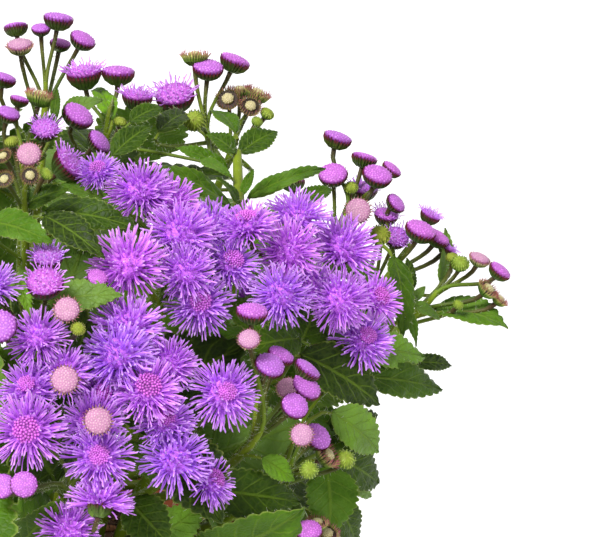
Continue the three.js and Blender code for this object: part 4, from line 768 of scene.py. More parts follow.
    def _settle_rule_leaves(self) -> None:
        """Lets each rule-set leaf try turns about its branch and steps along it until it is clear."""
        room = self._taken_room()
        for branch in self._branches():
            bunch = branch.bunch
            start = bunch.draw() * math.pi
            for i in range(bunch.leaf_count):
                size = LEAF_LENGTH * bunch.draw.above(*LEAF_LENGTH_SHARES)
                lean = bunch.draw.above(*LEAF_LEAN)
                for turn, along in LEAF_TRIALS:
                    root = branch.point(along - LEAF_STEP * i)
                    leaf = self._leaf_at(root, bunch.normal, start + turn + i * GOLDEN_TURN, size, lean)
                    if room.fits(leaf, bunch.leaf_reach):
                        bunch.leaves.append(leaf)
                        room.take(leaf.room(), LEAF_CLEARANCE)
                        break

    @staticmethod
    def _leaf_at(root: Array, normal: Array, turn: float, size: float, lean: float) -> Leaf:
        """A leaf of a given size on a root, turned about the dome's normal and leaning out along it.

        Args:
            root: Where its stalk starts.
            normal: The way out of the dome there.
            turn: Its turn about the normal.
            size: The blade's length.
            lean: How far it leans out along the normal.

        Returns:
            The leaf.
        """
        east, north = cross_axes(normal, UP)
        way = unit(math.cos(turn) * east + math.sin(turn) * north + lean * normal)
        foot = root + LEAF_STALK_SHARE * size * way
        tip = foot + size * way - LEAF_DROOP * size * UP
        face = LEAF_FACE[0] * normal + LEAF_FACE[1] * UP
        return Leaf(root, foot, tip, size * LEAF_WIDTH_SHARE, face)


# ---------------------------------------------------------------- finishes
def rgb(red: int, green: int, blue: int) -> Colour:
    """A linear colour from an sRGB one of 0 to 255."""
    values = (value / 255 for value in (red, green, blue))
    linear = (v / 12.92 if v <= 0.04045 else ((v + 0.055) / 1.055) ** 2.4 for v in values)
    return (*linear, 1.0)


def shades(*stops: tuple[float, int, int, int]) -> Stops:
    """Stops of colour, each from its place along the grain and its red, green and blue."""
    return tuple((place, rgb(*colour)) for place, *colour in stops)


@dataclass(frozen=True)
class LeafSide:
    """How one side of a leaf shows its veins, the net between them and its edge.

    A pair is where a smooth step starts and ends. A share is how much the colour counts, a relief how high.
    """

    pale: Colour
    vein_share: float
    vein_relief: float
    rib: Pair = (0.03, 0.10)
    lateral: Pair = (0.02, 0.11)
    lateral_share: float = 0.8
    lateral_end: Pair = (0.55, 0.98)
    net: Pair = (0.0, 0.22)
    net_share: float = 0.16
    net_relief: float = 0.35
    swell_relief: float = 0.25
    edge: Pair = (0.93, 0.99)
    edge_share: float = 0.6
    edge_colour: Colour = rgb(152, 172, 74)


UPPER_SIDE: Final = LeafSide(rgb(124, 156, 40), 0.55, -1.0)
LOWER_SIDE: Final = LeafSide(rgb(146, 172, 66), 0.75, 1.0)


@dataclass(frozen=True)
class Finish:
    """How a surface looks: its colours along its grain, how they vary and how light meets it."""

    name: str
    stops: Stops
    roughness: float = 0.6
    sheen: float = 0.0
    glow_through: float = 0.0
    through: Colour = (0.3, 0.5, 0.05, 1.0)
    piece_shift: float = 0.12
    mottle: float = 0.1
    mottle_size: float = 3.0
    bump: float = 0.15
    bump_size: float = 0.5
    leaf_side: LeafSide | None = None
    specular: float = 0.3


class Skin(Enum):
    """The finishes of the plant, its pot and its soil."""

    THREAD = Finish(
        "thread_violet",
        shades(
            (0, 174, 84, 212), (0.3, 214, 126, 250), (0.6, 232, 158, 255), (0.85, 240, 200, 255),
            (1, 252, 240, 255),
        ),
        roughness=0.65, sheen=0.2, glow_through=0.38, through=rgb(234, 176, 255), piece_shift=0.28, mottle=0.08,
        bump=0.0,
    )
    KNOB = Finish(
        "disc_magenta", shades((0, 140, 52, 156), (0.6, 196, 86, 202), (1, 226, 136, 240)),
        roughness=0.45, sheen=0.2, piece_shift=0.2, bump=0.1,
    )
    CORE = Finish(
        "core_violet", shades((0, 104, 40, 142), (0.5, 166, 80, 204), (1, 208, 116, 238)),
        roughness=0.8, piece_shift=0.1, mottle=0.6, mottle_size=0.4, bump=0.7, bump_size=0.28,
    )
    # The lilac grows lighter up the dome and up each grain; the last stop, which only the grains' tips reach, is a
    # painted highlight.
    BUD_TOP = Finish(
        "bud_lilac", shades((0, 132, 46, 142), (0.45, 192, 98, 210), (1, 238, 156, 250)),
        roughness=0.4, sheen=0.15, glow_through=0.12, through=rgb(220, 130, 236), piece_shift=0.22, mottle=0.16,
        mottle_size=0.5, bump=0.5, bump_size=0.28, specular=0.5,
    )
    PALE_TOP = Finish(
        "bud_pale", shades((0, 158, 86, 136), (0.45, 206, 142, 184), (1, 240, 206, 214)),
        roughness=0.45, sheen=0.15, glow_through=0.15, through=rgb(230, 180, 220), mottle=0.14, mottle_size=0.5,
        bump=0.5, bump_size=0.28,
    )
    CREAM_TOP = replace(
        PALE_TOP, name="bud_cream", stops=shades((0, 112, 118, 44), (0.45, 190, 182, 112), (1, 244, 232, 196)),
        through=rgb(230, 220, 160), piece_shift=0.14,
    )
    GREEN_TOP = replace(
        PALE_TOP, name="bud_green", stops=shades((0, 54, 78, 16), (0.5, 82, 110, 24), (1, 150, 172, 48)),
        roughness=0.5, through=rgb(190, 210, 80), piece_shift=0.14,
    )
    CUP = Finish(
        "cup_green", shades((0, 90, 118, 28), (0.5, 62, 86, 22), (1, 60, 44, 34)),
        roughness=0.55, sheen=0.15, piece_shift=0.15, mottle=0.15, mottle_size=1.0, bump=0.2,
    )
    BRACT = Finish(
        "bract_maroon_tip",
        shades((0, 96, 124, 36), (0.45, 72, 90, 28), (0.68, 98, 44, 44), (0.84, 104, 20, 56), (1, 126, 34, 88)),
        roughness=0.5, sheen=0.15, piece_shift=0.2, bump=0.1,
    )
    BRACT_PALE = replace(BRACT, name="bract_pale_tip", stops=shades(
        (0, 100, 126, 36), (0.45, 124, 140, 56), (0.7, 206, 196, 150), (0.9, 186, 110, 120), (1, 120, 36, 66)
    ))
    BRACT_FRINGE = replace(BRACT, name="bract_fringe", piece_shift=0.25, stops=shades(
        (0, 78, 106, 26), (0.5, 98, 126, 36), (0.72, 172, 172, 92), (0.88, 176, 92, 104), (1, 124, 34, 72)
    ))
    BRACT_GREEN = replace(BRACT_FRINGE, name="bract_green_tip", stops=shades(
        (0, 84, 112, 26), (0.4, 122, 150, 38), (0.8, 170, 186, 72), (1, 128, 84, 56)
    ))
    STALK = Finish(
        "stalk_green", shades((0, 112, 136, 20), (0.55, 92, 108, 24), (0.9, 80, 70, 32), (1, 76, 50, 36)),
        roughness=0.5, sheen=0.15, glow_through=0.12, through=rgb(150, 180, 40), piece_shift=0.2, mottle=0.12,
        mottle_size=2.0,
    )
    STEM = replace(
        STALK, name="stem_green", stops=shades((0, 90, 106, 20), (0.4, 120, 142, 22), (1, 134, 160, 30)),
        roughness=0.45, piece_shift=0.16, mottle=0.16, mottle_size=2.5,
    )
    # Each leaf takes a random place on this ramp, so its tone differs from leaf to leaf. The grey-green stop at 0.8
    # is a painted sheen, and the wide spread of dark and bright leaves is partly painted shade and painted light.
    LEAF = Finish(
        "leaf_green",
        shades((0, 30, 58, 0), (0.3, 52, 88, 2), (0.55, 80, 122, 6), (0.8, 118, 144, 64), (1, 122, 156, 22)),
        roughness=0.46, sheen=0.1, glow_through=0.28, through=rgb(132, 176, 8), piece_shift=0.3, mottle=0.24,
        mottle_size=5.0, bump=0.6, bump_size=1.1, leaf_side=UPPER_SIDE, specular=0.24,
    )
    LEAF_UNDER = Finish(
        "leaf_underside", shades((0, 72, 100, 28), (0.5, 94, 124, 36), (1, 118, 150, 44)),
        roughness=0.65, sheen=0.15, glow_through=0.28, through=rgb(132, 176, 8), piece_shift=0.15, mottle=0.12,
        mottle_size=5.0, bump=0.5, bump_size=1.1, leaf_side=LOWER_SIDE,
    )
    HAIR = Finish(
        "hair_white", shades((0, 190, 204, 140), (1, 236, 240, 226)),
        roughness=0.5, glow_through=0.4, through=rgb(236, 240, 220), piece_shift=0.1, mottle=0.0, bump=0.0,
    )
    POT = Finish(
        "pot_plastic", shades((0, 150, 78, 48), (1, 184, 98, 60)),
        roughness=0.55, piece_shift=0.0, mottle=0.08, mottle_size=14.0, bump=0.12, bump_size=0.6, specular=0.4,
    )
    SOIL = Finish(
        "potting_mix", shades((0, 34, 24, 16), (1, 66, 48, 34)),
        roughness=0.95, piece_shift=0.1, mottle=0.5, mottle_size=2.0, bump=0.8, bump_size=1.2, specular=0.15,
    )
    CRUMB = Finish(
        "peat_and_bark", shades((0, 30, 20, 14), (0.6, 72, 48, 32), (0.9, 104, 72, 46), (1, 122, 92, 62)),
        roughness=0.95, piece_shift=0.2, mottle=0.3, mottle_size=1.0, bump=0.6, bump_size=0.6, specular=0.15,
    )
    GRAIN = Finish(
        "perlite", shades((0, 196, 190, 178), (1, 236, 232, 222)),
        roughness=0.9, piece_shift=0.1, mottle_size=1.0, bump=0.4,
    )


SKINS: Final = tuple(Skin)
GRAIN_NAME: Final = "grain"
VEIN_PAIRS: Final = 6
VEIN_SWEEP: Final = 0.26
PER_METRE: Final = 1000
LEAF_SHADE_SWING: Final = 0.3
MOTTLE_GAIN: Final = 4
SHIFT_GAIN: Final = 2
HUE_GAIN: Final = 0.16
SHEEN_ROUGHNESS: Final = 0.4
BUMP_DEPTH: Final = 0.35


class Graph:
    """Builds the nodes of one material."""

    def __init__(self, name: str) -> None:
        """Starts an empty material of a name."""
        self.material = bpy.data.materials.new(name)
        self.material.use_nodes = True
        self.tree = self.material.node_tree
        self.tree.nodes.clear()

    def node(self, kind: str, inputs: dict[str | int, object] | None = None, **settings: object) -> bpy.types.Node:
        """Adds a node.

        Args:
            kind: The node's type.
            inputs: Sockets by name or index, each with a value or a socket to link.
            settings: The node's own properties.

        Returns:
            The node.
        """
        made = self.tree.nodes.new(kind)
        for key, value in settings.items():
            setattr(made, key, value)
        for key, value in (inputs or {}).items():
            if isinstance(value, bpy.types.NodeSocket):
                self.tree.links.new(value, made.inputs[key])
            else:
                made.inputs[key].default_value = value
        return made

    def math(self, operation: str, a: object, b: object = 0.0, clamp: bool = False) -> Socket:
        """One sum of two values or sockets."""
        return self.node("ShaderNodeMath", {0: a, 1: b}, operation=operation, use_clamp=clamp).outputs[0]

    def plus(self, a: object, b: object, clamp: bool = False) -> Socket:
        """The sum of two values or sockets."""
        return self.math("ADD", a, b, clamp)

    def times(self, a: object, b: object) -> Socket:
        """The product of two values or sockets."""
        return self.math("MULTIPLY", a, b)

    def swing(self, value: object, spread: float) -> Socket:
        """A value about 0.5 as a swing about 0, widened by a spread."""
        return self.times(self.math("SUBTRACT", value, 0.5), spread)

    def fall(self, value: object, low: float, high: float) -> Socket:
        """A smooth step of a value from 1 at low to 0 at high."""
        return self.math("SUBTRACT", 1.0, self.rise(value, low, high))

    def rise(self, value: object, low: float, high: float) -> Socket:
        """A smooth step of a value from 0 at low to 1 at high."""
        made = self.node("ShaderNodeMapRange", {"Value": value, "From Min": low, "From Max": high})
        made.interpolation_type = "SMOOTHSTEP"
        return made.outputs["Result"]

    def mix(self, share: object, a: object, b: object, blend: str = "MIX") -> Socket:
        """A colour mixed from two."""
        made = self.node("ShaderNodeMix", {0: share, 6: a, 7: b}, data_type="RGBA", blend_type=blend)
        return made.outputs[2]

    def ramp(self, value: object, stops: Stops) -> Socket:
        """A colour by a value along a row of stops."""
        made = self.node("ShaderNodeValToRGB", {0: value})
        elements = made.color_ramp.elements
        while len(elements) < len(stops):
            elements.new(0.5)
        for element, (place, colour) in zip(elements, stops):
            element.position = place
            element.color = colour
        return made.outputs["Color"]

    def noise(self, place: object, size: float, detail: float = 3.0) -> Socket:
        """Soft noise with spots of a size in millimetres."""
        inputs = {"Vector": place, "Scale": PER_METRE / size, "Detail": detail}
        return self.node("ShaderNodeTexNoise", inputs).outputs[0]


def leaf_detail(
    graph: Graph, finish: Finish, place: Socket, grain: tuple[Socket, Socket], colour: Socket
) -> tuple[Socket, Socket]:
    """The veins, the swell and the net between them and the pale edge of a leaf's side.

    Args:
        graph: The material.
        finish: The leaf's finish.
        place: The place in space.
        grain: The share along the blade, and the signed share from the midrib to the edge.
        colour: The leaf's colour without them.

    Returns:
        The colour with them, and the relief.
    """
    look = finish.leaf_side
    out = graph.math("ABSOLUTE", grain[1])
    swept = graph.math("SUBTRACT", grain[0], graph.times(out, VEIN_SWEEP))
    phase = graph.math("PINGPONG", graph.times(swept, float(VEIN_PAIRS)), 0.5)
    fade = graph.times(graph.fall(out, *look.lateral_end), look.lateral_share)
    lateral = graph.times(graph.fall(phase, *look.lateral), fade)
    vein = graph.math("MAXIMUM", graph.fall(out, *look.rib), lateral)
    inputs = {"Vector": place, "Scale": PER_METRE / finish.bump_size}
    cells = graph.node("ShaderNodeTexVoronoi", inputs, feature="DISTANCE_TO_EDGE").outputs["Distance"]
    net = graph.rise(cells, *look.net)
    colour = graph.mix(graph.times(vein, look.vein_share), colour, look.pale)
    colour = graph.mix(graph.times(graph.math("SUBTRACT", 1.0, net), look.net_share), colour, look.pale)
    colour = graph.mix(graph.times(graph.rise(out, *look.edge), look.edge_share), colour, look.edge_colour)
    height = graph.plus(graph.times(net, look.net_relief), graph.times(vein, look.vein_relief))
    return colour, graph.plus(height, graph.times(graph.times(phase, 2.0), look.swell_relief))


def make_material(finish: Finish) -> bpy.types.Material:
    """The material of a finish, coloured along the grain and by noise.

    Args:
        finish: The finish.

    Returns:
        The material.
    """
    graph = Graph(finish.name)
    place = graph.node("ShaderNodeTexCoord").outputs["Object"]
    grain = graph.node("ShaderNodeAttribute", attribute_name=GRAIN_NAME)
    along, side, piece = graph.node("ShaderNodeSeparateXYZ", {0: grain.outputs["Vector"]}).outputs[:3]
    mottle = graph.noise(place, finish.mottle_size)
    shade, own = along, side
    # A leaf's place on the ramp and its brightness come from its own draw: its own tone, partly painted sheen,
    # painted shade and painted light.
    if finish.leaf_side:
        shade, own = graph.plus(piece, graph.swing(mottle, LEAF_SHADE_SWING), True), piece
    colour = graph.ramp(shade, finish.stops)
    value = graph.plus(1.0, graph.swing(mottle, MOTTLE_GAIN * finish.mottle))
    value = graph.plus(value, graph.swing(own, SHIFT_GAIN * finish.piece_shift))
    hue = graph.plus(0.5, graph.swing(piece, HUE_GAIN * finish.piece_shift))
    colour = graph.node("ShaderNodeHueSaturation", {"Hue": hue, "Value": value, "Color": colour}).outputs[0]
    height = graph.noise(place, finish.bump_size, 2.0)
    if finish.leaf_side:
        colour, height = leaf_detail(graph, finish, place, (along, side), colour)
    shader = graph.node("ShaderNodeBsdfPrincipled", {
        "Base Color": colour, "Roughness": finish.roughness, "Specular IOR Level": finish.specular,
        "Sheen Weight": finish.sheen, "Sheen Roughness": SHEEN_ROUGHNESS,
    })
    if finish.bump:
        inputs = {"Height": height, "Strength": finish.bump, "Distance": BUMP_DEPTH * MM}
        graph.tree.links.new(graph.node("ShaderNodeBump", inputs).outputs[0], shader.inputs["Normal"])
    surface = shader.outputs[0]
    if finish.glow_through:
        through = graph.node("ShaderNodeBsdfTranslucent", {"Color": finish.through}).outputs[0]
        surface = graph.node("ShaderNodeMixShader", {0: finish.glow_through, 1: surface, 2: through}).outputs[0]
    graph.node("ShaderNodeOutputMaterial", {"Surface": surface})
    graph.material.diffuse_color = finish.stops[-1][1]
    return graph.material


# ---------------------------------------------------------------- shapes
@dataclass
class Shape:
    """A triangle mesh with a grain at each point: share along, share aside or draw, and draw for the piece."""

    points: Array
    faces: Array
    grain: Array
    skins: Array

    @staticmethod
    def drawn(mesh: bmesh.types.BMesh, skin: Skin) -> "Shape":
        """Takes the triangles of a bmesh and frees it.

        Args:
            mesh: The bmesh.
            skin: The finish of all its faces.

        Returns:
            The shape, with no grain yet.
        """
        bmesh.ops.triangulate(mesh, faces=mesh.faces)
        mesh.verts.index_update()
        points = np.array([vert.co for vert in mesh.verts])
        faces = np.array([[vert.index for vert in face.verts] for face in mesh.faces])
        mesh.free()
        return Shape(points, faces, np.zeros_like(points), np.full(len(faces), SKINS.index(skin)))

    @staticmethod
    def joined(shapes: Iterable["Shape"]) -> "Shape":
        """One shape of several."""
        parts = list(shapes)
        starts = np.cumsum([0] + [len(part.points) for part in parts[:-1]])
        return Shape(
            np.vstack([part.points for part in parts]),
            np.vstack([part.faces + start for part, start in zip(parts, starts)]),
            np.vstack([part.grain for part in parts]),
            np.concatenate([part.skins for part in parts]),
        )

    def copies(self, points: Array, grain: Array) -> "Shape":
        """Copies with their own points.

        Args:
            points: The points of each copy, copies x points x 3.
            grain: The grain of each copy, likewise.

        Returns:
            All copies as one shape.
        """
        count, size = points.shape[:2]
        faces = (self.faces[None] + (np.arange(count) * size)[:, None, None]).reshape(-1, 3)
        return Shape(points.reshape(-1, 3), faces, grain.reshape(-1, 3), np.tile(self.skins, count))

    def placed(self, at: Array, axis: Array, width: float, roll: float, piece: float) -> "Shape":
        """The shape scaled, stood on an axis and given its piece's draw.

        Args:
            at: Where its origin goes.
            axis: Where its +Z goes.
            width: The scale.
            roll: The turn about the axis.
            piece: The draw for the piece.

        Returns:
            The placed shape.
        """
        east, north = cross_axes(axis, UP)
        first = math.cos(roll) * east + math.sin(roll) * north
        frame = np.array((first, np.cross(axis, first), axis))
        grain = self.grain.copy()
        grain[:, 2] = piece
        return Shape(at + width * self.points @ frame, self.faces, grain, self.skins)


def square_to(vectors: Array, ways: Array) -> Array:
    """The directions square to unit ways that are nearest to some vectors."""
    return units(vectors - np.sum(vectors * ways, axis=-1, keepdims=True) * ways)


def grained(points: Array, along: Array | float, aside: Array | float, piece: Array | float) -> Array:
    """The grain of copies' points from its three parts, each spread over the copies' points."""
    grain = np.empty_like(points)
    for i, part in enumerate((along, aside, piece)):
        grain[..., i] = part
    return grain


def rod(sides: int, rings: int, skin: Skin, pointed: bool = False) -> Shape:
    """A closed rod of unit radius and length, extruded ring by ring from a disc.

    Args:
        sides: Sides of the rod.
        rings: Rings of points along it.
        skin: Its finish.
        pointed: Whether its last ring is drawn together to a point.

    Returns:
        The rod, its share along in z.
    """
    mesh = bmesh.new()
    bmesh.ops.create_circle(mesh, cap_ends=True, segments=sides, radius=1.0)
    top = mesh.faces[:]
    for _ in range(rings - 1):
        grown = bmesh.ops.extrude_face_region(mesh, geom=top)["geom"]
        top = [item for item in grown if isinstance(item, bmesh.types.BMFace)]
        verts = [item for item in grown if isinstance(item, bmesh.types.BMVert)]
        bmesh.ops.translate(mesh, verts=verts, vec=(0, 0, 1 / (rings - 1)))
    if pointed:
        bmesh.ops.pointmerge(mesh, verts=verts, merge_co=(0, 0, 1))
    bmesh.ops.recalc_face_normals(mesh, faces=mesh.faces)
    return Shape.drawn(mesh, skin)


def bent(shape: Shape, paths: Array, radii: Array, draws: Array, piece: float = 0.5) -> Shape:
    """Copies of a rod laid along paths.

    Args:
        shape: The rod.
        paths: The places along each path, copies x rings x 3.
        radii: The radius at each of them, copies x rings.
        draws: A draw for each copy.
        piece: The draw for the piece.

    Returns:
        The bent rods as one shape.
    """
    rings = paths.shape[1]
    ring = np.rint(shape.points[:, 2] * (rings - 1)).astype(int)
    ways = units(np.gradient(paths, axis=1))
    chord = paths[:, -1] - paths[:, 0]
    is_steep = np.abs(chord[:, 2:]) > STEEP * np.linalg.norm(chord, axis=1, keepdims=True)
    first = square_to(np.where(is_steep, RIGHT, UP)[:, None], ways)
    second = np.cross(ways, first)
    across = shape.points[None, :, :1] * first[:, ring] + shape.points[None, :, 1:2] * second[:, ring]
    points = paths[:, ring] + radii[:, ring, None] * across
    return shape.copies(points, grained(points, shape.points[:, 2], draws[:, None], piece))


def lathe(profile: Profile, sides: int, skin: Skin) -> Shape:
    """A solid of revolution with its grain along the profile.

    Args:
        profile: Radius and height of each point, from the foot of the axis to its top.
        sides: Sides of the solid.
        skin: Its finish.

    Returns:
        The solid.
    """
    mesh = bmesh.new()
    verts = [mesh.verts.new((radius, 0, height)) for radius, height in profile]
    edges = [mesh.edges.new(pair) for pair in zip(verts, verts[1:])]
    bmesh.ops.spin(mesh, geom=verts + edges, axis=(0, 0, 1), angle=2 * math.pi, steps=sides, use_merge=True)
    bmesh.ops.remove_doubles(mesh, verts=mesh.verts, dist=TINY)
    bmesh.ops.recalc_face_normals(mesh, faces=mesh.faces)
    shape = Shape.drawn(mesh, skin)
    heights = [height for _, height in profile]
    shape.grain[:, 0] = (shape.points[:, 2] - min(heights)) / (max(heights) - min(heights))
    shape.grain[:, 1] = 0.5
    return shape


def linked(name: str, data: bpy.types.ID) -> bpy.types.Object:
    """An object of some data, linked to the scene."""
    made = bpy.data.objects.new(name, data)
    bpy.context.scene.collection.objects.link(made)
    return made


def drawn_mesh(name: str, mesh: bmesh.types.BMesh) -> bpy.types.Mesh:
    """Turns a bmesh into a mesh and frees it."""
    data = bpy.data.meshes.new(name)
    mesh.to_mesh(data)
    mesh.free()
    return data


def show(name: str, shape: Shape, nodes: Sequence[str], sharp: float = 75.0) -> bpy.types.Object:
    """Makes a piece's object, gives it its materials and ties it to the frame.

    Args:
        name: The piece's name.
        shape: Its mesh, in millimetres.
        nodes: The nodes that it stands for.
        sharp: The angle in degrees from which an edge is sharp.

    Returns:
        The object.
    """
    used, index = np.unique(shape.skins, return_inverse=True)
    mesh = bpy.data.meshes.new(name)
    mesh.vertices.add(len(shape.points))
    mesh.vertices.foreach_set("co", (shape.points * MM).astype(np.float32).ravel())
    mesh.loops.add(3 * len(shape.faces))
    mesh.loops.foreach_set("vertex_index", shape.faces.astype(np.int32).ravel())
    mesh.polygons.add(len(shape.faces))
    mesh.polygons.foreach_set("loop_start", np.arange(0, 3 * len(shape.faces), 3, dtype=np.int32))
    for skin in used:
        finish = SKINS[skin].value
        mesh.materials.append(bpy.data.materials.get(finish.name) or make_material(finish))
    mesh.polygons.foreach_set("material_index", index.astype(np.int32))
    grain = mesh.attributes.new(GRAIN_NAME, "FLOAT_VECTOR", "POINT")
    grain.data.foreach_set("vector", shape.grain.astype(np.float32).ravel())
    mesh.update(calc_edges=True)
    mesh.validate()
    mesh.polygons.foreach_set("use_smooth", np.ones(len(mesh.polygons), dtype=bool))
    mesh.set_sharp_from_angle(angle=math.radians(sharp))
    made = linked(name, mesh)
    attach(made, "root")
    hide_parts(*nodes)
    LOG.info("%s: %d triangles", name, len(mesh.polygons))
    return made


# ---------------------------------------------------------------- flower heads
def round_places(radius: Array | float | Numbers, turn: Array, height: Array | float | Numbers) -> Array:
    """Places by how far from +Z they are, their turns about it and their heights."""
    return np.stack(np.broadcast_arrays(radius * np.cos(turn), radius * np.sin(turn), height), axis=-1)


def spread_ways(count: int, last: float, first: float = 0.0) -> Array:
    """Directions spread evenly in a golden spiral about +Z.

    Args:
        count: How many.
        last: The angle from +Z of the last, in radians.
        first: The angle from +Z of the first.

    Returns:
        The directions, count x 3.
    """
    steps = (np.arange(count) + 0.5) / count
    cosine = math.cos(first) + (math.cos(last) - math.cos(first)) * steps
    return round_places(np.sqrt(1 - cosine**2), np.arange(count) * GOLDEN_TURN, cosine)


def disc_spiral(count: int) -> tuple[Array, Array]:
    """Places in a golden spiral over a disc of radius 1, as how far out they lie and their turns."""
    return np.sqrt((np.arange(count) + 0.5) / count), np.arange(count) * GOLDEN_TURN


WAVE_TURNS: Final = (0.7, 1.5)
KNOB_PLAY: Final = (0.85, 1.15)
BRACT_RINGS: Final = 4
THREAD_SHARES: Final = np.array((0.0, 0.3, 0.62, 0.93, 1.0))
THREAD_FORM: Final = np.array((0.7, 0.85, 1.0, 1.25, 0.0))
COROLLA_SHARES: Final = np.array((0.0, 0.5, 1.0))


@dataclass
class HeadKit:
    """Makes the small forms of heads, with the draws that vary them."""

    draws: np.random.Generator

    def ring_turns(self, count: int, play: float, shift: float = 0.0) -> Array:
        """Turns spread round a ring, with some play and a shift, in shares of a step."""
        return (np.arange(count) + self.draws.uniform(-play, play, count) + shift) * 2 * math.pi / count

    def wavy_paths(self, starts: Array, ways: Array, lengths: Array, shares: Array, wave: float) -> Array:
        """Wavy paths from starting places.

        Args:
            starts: Where they start.
            ways: Which way they go.
            lengths: How far.
            shares: Where the places on each are, as shares of it.
            wave: How far they sway.

        Returns:
            The paths, count x places x 3.
        """
        count = len(starts)
        phase = self.draws.uniform(0, 2 * math.pi, (count, 1))
        turns = self.draws.uniform(*WAVE_TURNS, (count, 1))
        aside = square_to(self.draws.normal(size=(count, 3)), ways)
        sway = wave * shares * np.sin(phase + turns * 2 * math.pi * shares)
        paths = starts[:, None] + (lengths[:, None] * shares)[..., None] * ways[:, None]
        return paths + sway[..., None] * aside[:, None]

    def threads(self, paths: Array, radii: Array) -> Shape:
        """Pointed threads along paths, with their radii."""
        return bent(rod(3, len(THREAD_SHARES), Skin.THREAD, True), paths, radii, self.draws.random(len(paths)))

    def bract_row(self, skin: Skin, paths: Array, radii: Numbers | Array) -> Shape:
        """Bracts of a finish along paths, with the radii of each from foot to tip."""
        count = len(paths)
        return bent(rod(3, BRACT_RINGS, skin, True), paths, np.tile(radii, (count, 1)), self.draws.random(count))

    def knobs(self, at: Array, ways: Array, size: Pair, skin: Skin) -> Shape:
        """Low knobs standing on a surface.

        Args:
            at: Their middles.
            ways: The surface's normals there.
            size: Their radius and half-height.
            skin: Their finish.

        Returns:
            The knobs.
        """
        mesh = bmesh.new()
        bmesh.ops.create_uvsphere(mesh, u_segments=5, v_segments=2, radius=1.0)
        ball = Shape.drawn(mesh, skin)
        first = units(np.cross(np.where(np.abs(ways[:, 2:]) > STEEP, RIGHT, UP), ways))
        radius, height = size
        axes = (radius * first[:, None], radius * np.cross(ways, first)[:, None], height * ways[:, None])
        points = at[:, None] + self.draws.uniform(*KNOB_PLAY, (len(at), 1, 1)) * sum(
            ball.points[None, :, i : i + 1] * axis for i, axis in enumerate(axes)
        )
        # A knob's grain runs from its foot to its tip, so the tip takes the finish's last stop: on the lilac bud tops
        # that stop is a painted highlight.
        along = 0.5 + 0.5 * ball.points[:, 2]
        return ball.copies(points, grained(points, along, self.draws.random((len(at), 1)), 0.0))


@dataclass(frozen=True)
class HeadForm(ABC):
    """A head about its middle, facing +Z, in shares of its width."""

    def build(self, kit: HeadKit) -> Shape:
        """Makes the head.

        Args:
            kit: The small forms and the draws.

        Returns:
            The head, of width 1.
        """
        return Shape.joined(self._pieces(kit))

    @abstractmethod
    def _pieces(self, kit: HeadKit) -> Iterable[Shape]:
        """The head's pieces in order."""


